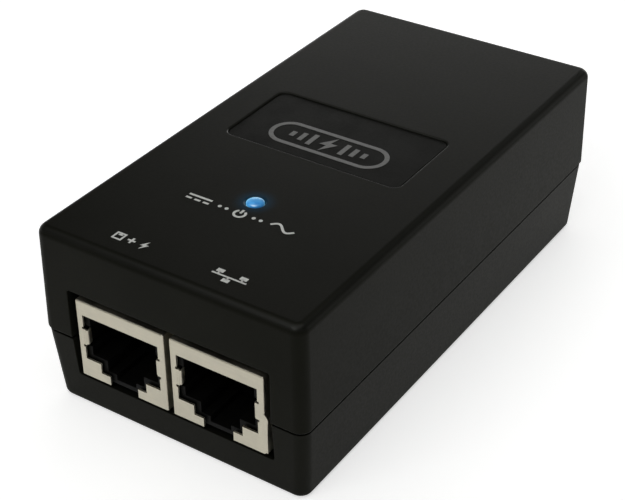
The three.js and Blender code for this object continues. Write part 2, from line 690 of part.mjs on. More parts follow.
// Ring choke stood on edge: a ferrite ring and one winding on each side of it.
function lineChoke(x, y) {
  const centreZ = 8.1;
  const core = { outer: 6.2, inner: 3.4, halfWidth: 2.5 };
  const coil = { outer: 7.3, inner: 2.3, halfWidth: 3.5, clearance: 0.25 };
  const ring = (outer, inner, halfWidth, z) =>
    rodAlongY(outer, -halfWidth, halfWidth, 0, z).subtract(rodAlongY(inner, -9, 9, 0, z));
  const ferrite = ring(core.outer, core.inner, core.halfWidth, centreZ);
  placeOnBoard(meshOf("line_choke_core", ferrite, FERRITE), x, y, []);
  const room = ring(
    core.outer + coil.clearance,
    core.inner - coil.clearance,
    core.halfWidth + coil.clearance,
    centreZ,
  );
  const reach = 9;
  for (const [index, side] of [[1, -1], [2, 1]]) {
    const sector = prismAlongY(
      outlineOf([
        [side * 0.9, centreZ],
        [side * reach, centreZ - reach * 1.5],
        [side * reach, centreZ + reach * 1.5],
      ]),
      -4,
      4,
    );
    const legX = side * 4.4;
    const legY = 2.9;
    const winding = joined([
      ring(coil.outer, coil.inner, coil.halfWidth, centreZ).intersect(sector).subtract(room),
      leg(legX, -legY, 4.2),
      leg(legX, legY, 4.2),
    ]);
    const finish = { color: 0xa8632c, roughness: 0.35, metalness: 0.7 };
    const legs = [-legY, legY].map((y1) => [legX, y1, LEG_HALF, LEG_HALF]);
    placeOnBoard(meshOf("line_choke_winding_" + index, winding, finish), x, y, legs);
  }
}

// Transformer with its core lying flat: two E-shaped halves, a bobbin on the middle limb, a winding.
function transformer(x, y) {
  const axisZ = 6.5;
  const core = { halfX: 9.5, halfY: 8.0, limbHalf: 2.4, legX: 7.2, yokeY: 5.4, halfZ: 2.5, airGap: 0.05 };
  const half = (name, side) => {
    const outline = outlineOf([
      [-core.halfX, core.airGap],
      [-core.halfX, core.halfY],
      [core.halfX, core.halfY],
      [core.halfX, core.airGap],
      [core.legX, core.airGap],
      [core.legX, core.yokeY],
      [core.limbHalf, core.yokeY],
      [core.limbHalf, core.airGap],
      [-core.limbHalf, core.airGap],
      [-core.limbHalf, core.yokeY],
      [-core.legX, core.yokeY],
      [-core.legX, core.airGap],
    ]);
    const solid = prismAlongZ(outline, axisZ - core.halfZ, axisZ + core.halfZ);
    const mesh = meshOf(name, solid, FERRITE);
    mesh.rotation.z = side > 0 ? 0 : Math.PI;
    placeOnBoard(mesh, x, y, []);
  };
  half("transformer_core_front", -1);
  half("transformer_core_rear", 1);

  const bobbin = { tubeX: 3.4, tubeZ: 3.5, halfY: 5.1, flangeX: 6.9, flangeTop: 12.3, flangeY: 4.3 };
  const pieces = [block([-bobbin.tubeX, -bobbin.halfY, axisZ - bobbin.tubeZ],
    [bobbin.tubeX, bobbin.halfY, axisZ + bobbin.tubeZ])];
  const legs = [];
  for (const side of [-1, 1]) {
    const [y0, y1] = side > 0 ? [bobbin.flangeY, bobbin.halfY] : [-bobbin.halfY, -bobbin.flangeY];
    pieces.push(block([-bobbin.flangeX, y0, 0.4], [bobbin.flangeX, y1, bobbin.flangeTop]));
    const [r0, r1] = side > 0 ? [bobbin.flangeY, 7.4] : [-7.4, -bobbin.flangeY];
    pieces.push(block([-bobbin.flangeX, r0, 0.4], [bobbin.flangeX, r1, 3.4]));
    for (let i = 0; i < 4; i++) {
      const legX = -5.7 + 3.8 * i;
      const legY = side * 6.6;
      pieces.push(leg(legX, legY, 1));
      legs.push([legX, legY, LEG_HALF, LEG_HALF]);
    }
  }
  const limbRoom = block([-core.limbHalf - 0.3, -9, axisZ - core.halfZ - 0.3],
    [core.limbHalf + 0.3, 9, axisZ + core.halfZ + 0.3]);
  const resin = { color: 0x26211c, roughness: 0.5, metalness: 0 };
  placeOnBoard(meshOf("transformer_bobbin", joined(pieces).subtract(limbRoom), resin), x, y, legs);

  const coil = { halfX: 6.6, halfZ: 5.6, halfY: 4.0 };
  const coilOutline = roundedOutline(-coil.halfX, axisZ - coil.halfZ, coil.halfX, axisZ + coil.halfZ, 1.6);
  const sleeve = prismAlongY(coilOutline, -coil.halfY, coil.halfY);
  const tubeRoom = block([-bobbin.tubeX - 0.2, -9, axisZ - bobbin.tubeZ - 0.2],
    [bobbin.tubeX + 0.2, 9, axisZ + bobbin.tubeZ + 0.2]);
  const tape = { color: 0xc8a63c, roughness: 0.45, metalness: 0 };
  placeOnBoard(meshOf("transformer_winding", sleeve.subtract(tubeRoom), tape), x, y, []);
}

// Power diode in a moulded body with a metal tab, on three legs.
function outputDiode(x, y) {
  const pieces = [
    block([-5.0, -2.2, 3.6], [5.0, 2.2, 12.6]),
    block([-5.0, 0.9, 12.4], [5.0, 2.2, 18.4]),
  ];
  const legs = [];
  for (const legX of [-2.54, 0, 2.54]) {
    pieces.push(leg(legX, 0, 4));
    legs.push([legX, 0, LEG_HALF, LEG_HALF]);
  }
  const hole = rodAlongY(1.8, -3, 3, 0, 15.6, ROUND_SMALL);
  const solid = joined(pieces).subtract(hole);
  const finish = { color: 0x1a1b1c, roughness: 0.4, metalness: 0.1 };
  placeOnBoard(meshOf("output_diode", solid, finish), x, y, legs);
}

// Bent aluminium plate behind the diode, on two pegs.
function heatSink(x, y) {
  const halfX = 7.4;
  const plan = stripOutline([[-halfX, -3.2], [-halfX, 0], [halfX, 0], [halfX, -3.2]], 1.2);
  const pegX = 5.6;
  const peg = { halfX: 0.8, halfY: 0.4 };
  const pegs = [-pegX, pegX].map((side) => leg(side, 0, 1, peg.halfX, peg.halfY));
  const solid = joined([prismAlongZ(plan, 0.4, 16.5), ...pegs]);
  const legs = [-pegX, pegX].map((side) => [side, 0, peg.halfX, peg.halfY]);
  placeOnBoard(meshOf("heat_sink", solid, { color: 0xaeb2b5, roughness: 0.4, metalness: 1 }), x, y, legs);
}

// The board itself, last, because it is drilled for every leg placed on it.
function mainBoard() {
  let solid = block([-BOARD.halfX, -BOARD.halfY, BOARD_BOTTOM], [BOARD.halfX, BOARD.halfY, BOARD.top]);
  for (const [x, y] of SCREW_PLACES) {
    solid = solid.subtract(rod(LOWER_BOSS.r + 0.4, BOARD_BOTTOM - 1, BOARD.top + 1, x, y));
  }
  for (const [x, y, halfX, halfY] of boardHoles) {
    const low = [x - halfX, y - halfY, BOARD_BOTTOM - 1];
    const high = [x + halfX, y + halfY, BOARD.top + 1];
    solid = solid.subtract(block(low, high));
  }
  return meshOf("main_board", solid, { color: 0x1f5a33, roughness: 0.5, metalness: 0 });
}

// ---------------------------------------------------------------- the whole adapter

assembly.add(lowerCase());
assembly.add(upperCase());
assembly.add(badgeLabel());
SCREW_PLACES.forEach((place, index) => assembly.add(caseScrew(index, place)));
assembly.add(statusLight());
assembly.add(socket("poe", -1));
assembly.add(socket("lan", 1));
assembly.add(inletHousing());
for (const [name, place] of Object.entries(INLET_PINS)) assembly.add(inletPin(name, place));

drumPart("fuse", -14.6, 22.0, 4.2, 7.6, 0x2a2320);
discPart("surge_thermistor", -5.0, 23.2, 4.5, 3.6, 0x1f3d2a);
boxCapacitor("suppression_capacitor", 12.6, 22.4, 12.6, 6.2, 11.5, 0xc9a227);
lineChoke(12.0, 14.2);
dualRowChip("bridge_rectifier", -1.6, 14.2, 6.4, 8.4, 2, 5.1);
canCapacitor("bulk_capacitor", -13.0, 11.2, 6.25, 18.0, 0x20242c);
transformer(-9.0, -4.0);
outputDiode(12.0, 4.4);
heatSink(12.0, 7.6);
dualRowChip("controller_chip", 5.8, -3.2, 6.4, 9.2, 4, 2.54);
canCapacitor("output_capacitor_1", 15.4, -2.6, 4.0, 13.5, 0x20242c);
canCapacitor("output_capacitor_2", 15.4, -11.0, 4.0, 13.5, 0x20242c);
drumPart("output_choke", 6.4, -14.6, 4.0, 10.0, 0x24272a);
dualRowChip("optocoupler", -4.4, -16.6, 6.2, 4.6, 2, 2.54);
discPart("safety_capacitor", -10.6, -15.6, 3.4, 2.6, 0x2b4f86);
assembly.add(mainBoard());

export default assembly;
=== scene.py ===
"""Looks for a small power-over-ethernet injector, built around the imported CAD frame.

Lengths are millimetres everywhere in this script and become metres where a mesh is made. The
frame's origin is the centre of the underside, +Z is up, the sockets face -Y and +X is to
their right.
"""

import math

import bmesh
import bpy
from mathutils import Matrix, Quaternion, Vector


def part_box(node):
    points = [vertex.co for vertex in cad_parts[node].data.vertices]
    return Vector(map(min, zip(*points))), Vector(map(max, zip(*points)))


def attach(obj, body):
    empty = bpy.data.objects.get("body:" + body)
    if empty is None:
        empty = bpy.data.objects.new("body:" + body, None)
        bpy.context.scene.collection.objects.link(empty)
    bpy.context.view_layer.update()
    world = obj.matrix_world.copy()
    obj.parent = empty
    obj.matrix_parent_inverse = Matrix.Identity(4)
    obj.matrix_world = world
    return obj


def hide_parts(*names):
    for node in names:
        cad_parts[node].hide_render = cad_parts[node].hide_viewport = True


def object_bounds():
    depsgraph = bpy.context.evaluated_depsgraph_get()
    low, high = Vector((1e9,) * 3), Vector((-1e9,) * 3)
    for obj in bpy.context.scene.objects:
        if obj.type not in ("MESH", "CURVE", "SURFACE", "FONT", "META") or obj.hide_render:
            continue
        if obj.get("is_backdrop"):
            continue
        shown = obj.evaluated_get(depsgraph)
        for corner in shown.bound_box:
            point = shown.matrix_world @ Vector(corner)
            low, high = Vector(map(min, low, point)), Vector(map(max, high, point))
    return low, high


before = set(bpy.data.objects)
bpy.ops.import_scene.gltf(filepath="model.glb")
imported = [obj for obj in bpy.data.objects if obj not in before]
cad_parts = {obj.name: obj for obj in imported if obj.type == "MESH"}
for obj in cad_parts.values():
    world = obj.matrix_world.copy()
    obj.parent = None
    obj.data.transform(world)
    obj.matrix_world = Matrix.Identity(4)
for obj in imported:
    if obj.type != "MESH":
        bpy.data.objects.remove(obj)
cad_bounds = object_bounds()

MM = 0.001


def box_mm(node):
    """Lowest and highest corner of a CAD node, in millimetres."""
    low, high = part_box(node)
    return low / MM, high / MM


def plan_centre(node):
    """Middle of a CAD node in x and y."""
    low, high = box_mm(node)
    return (low.x + high.x) / 2, (low.y + high.y) / 2


# ------------------------------------------------------------------ sizes

TUB_HIGH = box_mm("lower_case")[1]
LID_LOW, LID_HIGH = box_mm("upper_case")
LABEL_LOW, LABEL_HIGH = box_mm("badge_label")
LENS_LOW, LENS_HIGH = box_mm("status_light_lens")
INLET_LOW, INLET_HIGH = box_mm("inlet_housing")

# Case shells. The seam between them is level.
SEAM_Z = 12.65
SEAM_GAP = 0.35
TUB_TOP = SEAM_Z - SEAM_GAP / 2
LID_BOTTOM = SEAM_Z + SEAM_GAP / 2
LID_TOP = LID_HIGH.z
TUB_HALF = Vector((TUB_HIGH.x, TUB_HIGH.y))
LID_HALF = Vector((LID_HIGH.x, LID_HIGH.y))
TUB_DRAFT = Vector((0.75, 1.0))
LID_DRAFT = Vector((0.35, 0.15))
WALL = 2.0
CEILING = LID_TOP - WALL
CORNER_R = 1.9
INNER_CORNER_R = 0.6
TUB_FILLET = 1.0
LID_FILLET = 1.45
LIP_FILLET = 0.3
TONGUE_TOP = TUB_HIGH.z
TONGUE = {"inset": 1.25, "corner_r": 0.8, "fillet": 0.15, "from_openings": 0.45}
REBATE = {"inset": 0.95, "corner_r": 1.1, "over_tongue": 0.3}

# Openings in the front and rear walls, and how far their rims are rounded.
SOCKET_OPENING = {"half_x": 17.4, "z0": 5.8, "z1": 21.2, "corner_r": 0.35}
INLET_CLEARANCE = 0.35
INLET_OPENING_R = 1.4
INLET_FLANGE = {"side": 1.4, "top": 1.2, "y0": 39.0, "y1": 40.2}
FRONT_WALL = (-46, -40)
REAR_WALL = (40, 46)
OPENING_ROUNDING = 0.14

# The lid's pocket with its rounded rim, and the label's rounded edge as (below its top, inwards).
LABEL_CENTRE = (LABEL_LOW + LABEL_HIGH) / 2
LABEL_HALF = (LABEL_HIGH - LABEL_LOW) / 2
POCKET_CLEARANCE = 0.08
POCKET_DEPTH = 0.5
POCKET_R = 1.4
RIM_FILLET = 0.36
LABEL_EDGE = [(0.07, 0), (0.02, 0.02), (0, 0.07)]

# The status light, the normals at its painted glint and on its painted brighter side, and how far its
# painted glow on the lid around it reaches.
LENS_HOLE_R = 1.45
LENS_R = 1.35
LENS_FLANGE_HEIGHT = 1.0
LENS_DOME_HEIGHT = 0.4
LENS_PAINTED_GLINT = (0.20, -0.46, 0.86)
LENS_PAINTED_SHINE = (-0.5, -0.4, 0.6)
PAINTED_GLOW_REACH = 3.8
LENS_CENTRE = (LENS_LOW + LENS_HIGH) / 2

# Bosses, screw wells, board posts and the rib above the sockets.
SCREW_NODES = [f"case_screw_{number}" for number in range(1, 5)]
WELL_R = 3.1
WELL_TOP = 3.4
TUB_BOSS = {"r": 4.2, "top": 8.0, "hole_r": 1.6}
LID_BOSS = {"r": 3.2, "bottom": 8.3, "hole_r": 1.55, "hole_top": 20.0}
POST_PLACES = [(-8.25, -38.6), (8.25, -38.6), (-18.6, 10), (18.6, 19), (-11.5, 31), (11.5, 31)]
POST_R = 1.2
POST_TOP = 4.82
SOCKET_RIB = {"y0": -38.6, "y1": -37.4, "half_x": 19.9, "gap_half_x": 17.1, "gap_top": 20.15}

CORNER_STEPS = 10
FILLET_STEPS = 7
ROUND_STEPS = 48


# ------------------------------------------------------------------ meshes

def mesh_object(name, points, faces):
    """A new object from points in millimetres."""
    mesh = bpy.data.meshes.new(name)
    mesh.from_pydata([Vector(point) * MM for point in points], [], faces)
    mesh.validate()
    piece = bpy.data.objects.new(name, mesh)
    bpy.context.scene.collection.objects.link(piece)
    return piece


def lofted(name, rings, looped=False):
    """A closed solid through rings of points, capped at its ends or looped back to its first ring."""
    count = len(rings[0])
    points = [point for ring in rings for point in ring]
    faces = []
    for ring in range(len(rings) if looped else len(rings) - 1):
        here = ring * count
        there = (ring + 1) % len(rings) * count
        for i in range(count):
            j = (i + 1) % count
            faces.append((here + i, here + j, there + j, there + i))
    if not looped:
        faces.append(tuple(reversed(range(count))))
        faces.append(tuple(range(len(points) - count, len(points))))
    return mesh_object(name, points, faces)


def arc(radius, start, end, centre=(0, 0), steps=24):
    """Points on a circle between two angles in degrees."""
    angles = [math.radians(start + (end - start) * i / steps) for i in range(steps + 1)]
    return [(centre[0] + radius * math.cos(a), centre[1] + radius * math.sin(a)) for a in angles]


def circle(radius, centre=(0, 0), steps=ROUND_STEPS):
    return arc(radius, 0, 360, centre, steps)[:-1]


def rounded_outline(low, high, radius, steps=8):
    """A rounded rectangle, counter-clockwise."""
    points = []
    for corner in range(4):
        x = high[0] - radius if corner in (0, 3) else low[0] + radius
        y = high[1] - radius if corner < 2 else low[1] + radius
        points += arc(radius, 90 * corner, 90 * corner + 90, (x, y), steps)
    return points


def rounded_ring(half, radius, z, centre=(0, 0)):
    """A rounded rectangle around a centre, at height z."""
    low = (centre[0] - half[0], centre[1] - half[1])
    high = (centre[0] + half[0], centre[1] + half[1])
    return [(x, y, z) for x, y in rounded_outline(low, high, radius, CORNER_STEPS)]


def drafted_block(name, low, high, radius, fillet_low=0.0, fillet_high=0.0):
    """A block between two heights, low = (z, half x, half y), with its end edges rounded."""
    def ring(z, inset):
        share = (z - low[0]) / (high[0] - low[0])
        half = [low[k] + (high[k] - low[k]) * share - inset for k in (1, 2)]
        return rounded_ring(half, max(radius - inset, 0.2), z)

    rings = []
    for fillet, z, towards in ((fillet_low, low[0], 1), (fillet_high, high[0], -1)):
        steps = FILLET_STEPS if fillet else 0
        part = []
        for step in range(steps + 1):
            angle = math.pi / 2 * (step / steps if steps else 1)
            part.append(ring(z + towards * fillet * (1 - math.cos(angle)), fillet * (1 - math.sin(angle))))
        rings += part if towards > 0 else part[::-1]
    return lofted(name, rings)


def prism(name, outline, axis, start, end, origin=(0, 0, 0)):
    """An outline pushed along an axis. It lies in (x, y) for z, (x, z) for y and (y, z) for x."""
    place = {
        "z": lambda u, v, w: (u, v, w),
        "y": lambda u, v, w: (u, w, v),
        "x": lambda u, v, w: (w, u, v),
    }[axis]

    def placed(*point):
        return tuple(a + b for a, b in zip(origin, place(*point)))

    piece = lofted(name, [[placed(u, v, w) for u, v in outline] for w in (start, end)])
    face_out(piece)
    return piece


def face_out(piece):
    """Turns every face of a closed mesh outwards."""
    work = bmesh.new()
    work.from_mesh(piece.data)
    bmesh.ops.recalc_face_normals(work, faces=work.faces)
    work.to_mesh(piece.data)
    work.free()


def block(name, low, high, origin=(0, 0, 0)):
    corners = [(low[0], low[1]), (high[0], low[1]), (high[0], high[1]), (low[0], high[1])]
    return prism(name, corners, "z", low[2], high[2], origin)


def strip(path, width):
    """The outline of a strip of even width along a path."""
    path = [Vector(point) for point in path]
    sides = ([], [])
    for i, point in enumerate(path):
        before = (path[max(i, 1)] - path[max(i, 1) - 1]).normalized()
        after = (path[min(i + 1, len(path) - 1)] - path[min(i, len(path) - 2)]).normalized()
        middle = (before + after).normalized()
        reach = width / 2 / middle.dot(after)
        across = Vector((-middle.y, middle.x)) * reach
        sides[0].append(tuple(point + across))
        sides[1].append(tuple(point - across))
    return sides[0] + sides[1][::-1]


def turned(name, profile, centre=(0, 0, 0), axis="z", steps=ROUND_STEPS):
    """A turned piece: profile is (radius, height) pairs from the axis at the bottom to the top."""
    points = []
    faces = []
    rings = []
    for radius, height in profile:
        if radius == 0:
            rings.append([len(points)])
            points.append((0, 0, height))
            continue
        rings.append(list(range(len(points), len(points) + steps)))
        points += [(x, y, height) for x, y in circle(radius, steps=steps)]
    for lower, upper in zip(rings, rings[1:]):
        for i in range(steps):
            j = (i + 1) % steps
            quad = [ring[k % len(ring)] for ring, k in ((lower, i), (lower, j), (upper, j), (upper, i))]
            faces.append(tuple(dict.fromkeys(quad)))
    if axis == "y":
        points = [(x, z, -y) for x, y, z in points]
    points = [tuple(Vector(point) + Vector(centre)) for point in points]
    piece = mesh_object(name, points, faces)
    face_out(piece)
    return piece


def combine(piece, operation, tools):
    for tool in tools:
        modifier = piece.modifiers.new("combine", "BOOLEAN")
        modifier.operation = operation
        modifier.solver = "EXACT"
        modifier.object = tool
    bpy.context.view_layer.update()
    old = piece.data
    piece.data = bpy.data.meshes.new_from_object(piece.evaluated_get(bpy.context.evaluated_depsgraph_get()))
    piece.modifiers.clear()
    bpy.data.meshes.remove(old)
    for tool in tools:
        bpy.data.objects.remove(tool)
    if not piece.data.vertices:
        raise ValueError(f"nothing is left of {piece.name}")
    return piece


def cut(piece, *tools):
    return combine(piece, "DIFFERENCE", tools)


def join(piece, *tools):
    return combine(piece, "UNION", tools)


def gather(name, pieces):
    """Several separate bodies as one object, with nothing fused."""
    points = []
    faces = []
    for piece in pieces:
        first = len(points)
        points += [vertex.co / MM for vertex in piece.data.vertices]
        faces += [tuple(first + i for i in face.vertices) for face in piece.data.polygons]
        bpy.data.objects.remove(piece)
    return mesh_object(name, points, faces)


def soften(piece, width, where=None, segments=2, sharper_than=30):
    """Rounds the edges that turn more than an angle and whose middle passes a test, in millimetres."""
    work = bmesh.new()
    work.from_mesh(piece.data)
    bmesh.ops.remove_doubles(work, verts=work.verts, dist=0.002 * MM)
    bmesh.ops.dissolve_degenerate(work, edges=work.edges, dist=0.002 * MM)
    chosen = []
    for edge in work.edges:
        if len(edge.link_faces) != 2 or edge.calc_face_angle(0) < math.radians(sharper_than):
            continue
        middle = (edge.verts[0].co + edge.verts[1].co) / 2 / MM
        if where is None or where(middle):
            chosen.append(edge)
    bmesh.ops.bevel(work, geom=chosen, offset=width * MM, offset_type="OFFSET", segments=segments,
                    profile=0.5, affect="EDGES", clamp_overlap=False)
    work.to_mesh(piece.data)
    work.free()
    return piece


def dress(piece, slot):
    """Its slot's material, and smooth shading that keeps creases sharp."""
    piece.data.materials.clear()
    piece.data.materials.append(MATERIALS[slot])
    piece.data.shade_smooth()
    piece.data.set_sharp_from_angle(angle=math.radians(32))


def fitted(piece, body, slot, *nodes):
    """Gives a finished piece its looks, its body and the CAD nodes that it stands for."""
    dress(piece, slot)
    normals = piece.modifiers.new("even_shading", "WEIGHTED_NORMAL")
    normals.keep_sharp = True
    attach(piece, body)
    if nodes:
        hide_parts(*nodes)
    return piece


# ------------------------------------------------------------------ materials

# A wave texture repeats every WAVE_PERIOD / scale.
WAVE_PERIOD = 2 * math.pi / 20
WIRE_TURNS = 48
TAPE_PITCH = 2.6
TRACK_PITCH = 12
# The faint olive sheen of the black plastic and of the label, and the neutral one of worn edges.
SHEEN = (0.98, 1.0, 0.74)
WORN_SHEEN = (0.98, 1.0, 0.94)
# The floor's own light: as the camera sees it, and as the case mirrors it in front and behind.
FLOOR_GLOW = {"seen": 0.60, "front": 0.45, "rear": 0.66, "front_y": -45, "rear_y": 75}


class Nodes:
    """A node tree with short calls for the nodes that the finishes and the sky share."""

    def __init__(self, tree):
        self.tree = tree

    def node(self, kind, settings=None, **values):
        made = self.tree.nodes.new(kind)
        for key, value in (settings or {}).items():
            setattr(made, key, value)
        for key, value in values.items():
            self.feed(made.inputs[key.replace("_", " ")], value)
        return made

    def feed(self, socket, value):
        """Links a socket to an output, or sets its value."""
        if isinstance(value, bpy.types.NodeSocket):
            self.tree.links.new(value, socket)
        elif socket.type == "RGBA":
            socket.default_value = (*value, 1.0)
        else:
            socket.default_value = value

    def ramp(self, value, low, high, start=0.35, end=0.65, curve="LINEAR"):
        """A value stretched so that start to end covers low to high."""
        made = self.node("ShaderNodeMapRange", {"interpolation_type": curve}, Value=value,
                         From_Min=start, From_Max=end, To_Min=low, To_Max=high)
        return made.outputs["Result"]

    def math(self, operation, first, second=0.0):
        made = self.node("ShaderNodeMath", {"operation": operation})
        self.feed(made.inputs[0], first)
        self.feed(made.inputs[1], second)
        return made.outputs["Value"]

    def vector(self, operation, first, second):
        """The node of a vector operation on two vectors."""
        made = self.node("ShaderNodeVectorMath", {"operation": operation})
        self.feed(made.inputs[0], first)
        self.feed(made.inputs[1], second)
        return made

    def axis(self, vector, name):
        return self.node("ShaderNodeSeparateXYZ", Vector=vector).outputs[name]

    def for_camera(self, value, seen):
        """One strength for what the camera sees directly, and another for reflections."""
        direct = self.node("ShaderNodeLightPath").outputs["Is Camera Ray"]
        return self.node("ShaderNodeMix", Factor=direct, A=value, B=seen).outputs["Result"]


class Shader(Nodes):
    """A material made of nodes."""

    def __init__(self, name):
        self.material = bpy.data.materials.new(name)
        self.material.use_nodes = True
        super().__init__(self.material.node_tree)
        self.surface = self.tree.nodes["Principled BSDF"]
        self.place = self.node("ShaderNodeTexCoord").outputs["Object"]
        self.normal = self.node("ShaderNodeNewGeometry").outputs["Normal"]

    def set(self, key, value):
        self.feed(self.surface.inputs[key], value)

    def noise(self, size_mm, detail=2.0, place=None):
        """Cloudy noise from 0 to 1 whose blotches are about size_mm across."""
        made = self.node("ShaderNodeTexNoise", Vector=place or self.place, Scale=1 / (size_mm * MM),
                         Detail=detail)
        return made.outputs["Fac"]

    def mix(self, factor, first, second):
        made = self.node("ShaderNodeMix", {"data_type": "RGBA"}, Factor=factor, A=first, B=second)
        return made.outputs["Result"]

    def facing(self, direction):
        """How squarely the surface faces a direction: 1 when straight at it, 0 from a right angle on."""
        squarely = self.vector("DOT_PRODUCT", self.normal, Vector(direction).normalized())
        return self.math("MAXIMUM", squarely.outputs["Value"], 0.0)

    def fillets(self):
        """1 on the rounded edges between level and upright faces, 0 on the faces themselves."""
        level = self.math("ABSOLUTE", self.axis(self.normal, "Z"))
        return self.math("MULTIPLY", self.ramp(level, 0, 1, 0.4, 0.62), self.ramp(level, 1, 0, 0.85, 0.97))

    def bump(self, height, depth_mm, strength=1.0, under=None):
        made = self.node("ShaderNodeBump", Height=height, Strength=strength, Distance=depth_mm * MM)
        if under is not None:
            self.feed(made.inputs["Normal"], under)
        return made.outputs["Normal"]


def finish(name, dark, light, rough, blotch, grain, depth, specular=0.5, metallic=0.0):
    """A finish with cloudy colour, uneven gloss and fine surface grain."""
    made = Shader(name)
    clouds = made.noise(blotch, 3.0)
    fine = made.noise(grain)
    made.set("Base Color", made.mix(made.ramp(clouds, 0, 1), dark, light))
    made.set("Roughness", made.ramp(fine, *rough))
    made.set("Metallic", metallic)
    made.set("Specular IOR Level", specular)
    made.set("Normal", made.bump(fine, depth))
    return made


def case_plastic():
    """Black ABS with a fine spark-eroded grain, and a painted blue glow of the status light on it around its
    hole.
    """
    made = Shader("case_plastic")
    pebble = made.noise(0.42, 3.0)
    fine = made.noise(0.11)
    clouds = made.ramp(made.noise(9.0), 0, 1)
    made.set("Base Color", made.mix(clouds, (0.0052, 0.0053, 0.0040), (0.0064, 0.0065, 0.0050)))
    worn = made.fillets()
    polish = made.math("MULTIPLY", worn, 0.14)
    made.set("Roughness", made.math("SUBTRACT", made.ramp(pebble, 0.46, 0.53), polish))
    made.set("Specular IOR Level", made.math("ADD", polish, 0.058))
    made.set("Specular Tint", made.mix(worn, SHEEN, WORN_SHEEN))
    coarse = made.bump(pebble, 0.005, 0.4)
    made.set("Normal", made.bump(fine, 0.003, 0.4, coarse))
    # Painted light: blue emission on the plastic, fading outwards from the lens, stands in for the status
    # light's glow.
    away = made.vector("DISTANCE", made.place, Vector((LENS_CENTRE.x, LENS_CENTRE.y, LID_TOP)) * MM)
    painted_glow = made.ramp(away.outputs["Value"], 1.0, 0.0, LENS_R * MM, PAINTED_GLOW_REACH * MM)
    made.set("Emission Color", (0.0, 0.13, 0.27))
    made.set("Emission Strength", made.math("MULTIPLY", made.math("POWER", painted_glow, 2.0), 0.14))
    return made


def label_film():
    """Black satin film, cloudy where the glue under it is uneven."""
    made = finish("label_film", (0.0036, 0.0037, 0.0031), (0.0048, 0.0049, 0.0042), (0.40, 0.50),
                  blotch=6.0, grain=0.4, depth=0.003)
    made.set("Specular IOR Level", made.ramp(made.noise(3.5, 3.0), 0.032, 0.044))
    made.set("Specular Tint", SHEEN)
    return made


def shield_metal():
    """Nickel-plated sheet: satin, with faint rolling marks along its width and dull clouds."""
    made = Shader("shield_metal")
    along_width = made.node("ShaderNodeMapping", Vector=made.place, Scale=(0.12, 1.0, 4.0)).outputs["Vector"]
    rolled = made.noise(0.5, 3.0, along_width)
    clouds = made.noise(2.4, 3.0)
    base = made.mix(made.ramp(clouds, 0, 1), (0.53, 0.50, 0.41), (0.62, 0.585, 0.48))
    made.set("Base Color", made.mix(made.ramp(rolled, 0, 0.2), base, (0.46, 0.435, 0.36)))
    made.set("Metallic", 1.0)
    made.set("Roughness", made.ramp(clouds, 0.38, 0.52))
    made.set("Normal", made.bump(made.noise(0.09), 0.006, 0.4))
    return made


def light_lens():
    """Tinted epoxy lit from below: blue, paler towards its outline, with a painted glint low at the front
    and a painted brighter side towards the upper front left.
    """
    made = Shader("light_lens")
    edge_on = made.node("ShaderNodeLayerWeight", Blend=0.4).outputs["Facing"]
    haze = made.noise(0.5)
    # Painted glint: white emission on the small part of the dome that faces low and to the front.
    painted_glint = made.math("POWER", made.facing(LENS_PAINTED_GLINT), 70.0)
    cup = made.ramp(made.noise(0.9), 0, 1, 0.4, 0.6)
    middle = made.mix(cup, (0.02, 0.15, 0.38), (0.05, 0.27, 0.55))
    body = made.mix(made.ramp(edge_on, 0, 1, 0.30, 0.66), middle, (0.22, 0.54, 0.70))
    made.set("Base Color", made.mix(haze, (0.03, 0.16, 0.42), (0.05, 0.20, 0.48)))
    made.set("Emission Color", made.mix(painted_glint, body, (0.72, 0.94, 1.0)))
    # Painted light: the emission is stronger where the dome faces up, to the front and to the left.
    made.set("Emission Strength", made.ramp(made.facing(LENS_PAINTED_SHINE), 0.38, 0.9, 0.35, 0.9))
    made.set("Roughness", made.ramp(haze, 0.16, 0.24))
    made.set("Specular IOR Level", 0.1)
    made.set("Normal", made.bump(haze, 0.004, 0.3))
    return made


def board_laminate():
    """Green solder mask over copper tracks, with the tracks a little paler and raised."""
    made = Shader("board_laminate")
    tracks = made.node("ShaderNodeTexBrick", Vector=made.place, Scale=1 / (TRACK_PITCH * MM),
                       Mortar_Size=0.03, Mortar_Smooth=0.1, Mortar=(0.045, 0.20, 0.075),
                       Color1=(0.010, 0.085, 0.030), Color2=(0.012, 0.075, 0.028))
    made.set("Base Color", tracks.outputs["Color"])
    made.set("Roughness", made.ramp(made.noise(3.0), 0.28, 0.4))
    made.set("Normal", made.bump(tracks.outputs["Fac"], 0.03, 0.4))
    return made


def banded(made, turn, dark, light, metallic, rough, depth):
    """Colours and relief for a material made of bands that run from 0 to 1 across each turn."""
    made.set("Base Color", made.mix(turn, dark, light))
    made.set("Metallic", metallic)
    made.set("Roughness", made.ramp(made.noise(1.5), *rough))
    made.set("Normal", made.bump(turn, depth, 0.7))
    return made


def enamelled_wire():
    """Copper wire wound round a ring core: one band for each turn about the ring's axis."""
    made = Shader("enamelled_wire")
    low, high = box_mm("line_choke_core")
    apart = made.vector("SUBTRACT", made.place, (low + high) / 2 * MM).outputs["Vector"]
    around = made.math("ARCTAN2", made.axis(apart, "Z"), made.axis(apart, "X"))
    turn = made.math("ABSOLUTE", made.math("SINE", made.math("MULTIPLY", around, WIRE_TURNS / 2)))
    return banded(made, turn, (0.16, 0.05, 0.014), (0.52, 0.21, 0.06), 0.9, (0.22, 0.35), 0.25)


def yellow_tape():
    """Polyester tape wrapped round the coil, with a faint step at each edge."""
    made = Shader("yellow_tape")
    along = {"bands_direction": "Y", "wave_profile": "SAW"}
    bands = made.node("ShaderNodeTexWave", along, Vector=made.place, Scale=WAVE_PERIOD / (TAPE_PITCH * MM),
                      Distortion=0.3)
    turn = bands.outputs["Fac"]
    return banded(made, turn, (0.50, 0.36, 0.045), (0.62, 0.47, 0.075), 0.0, (0.25, 0.4), 0.05)


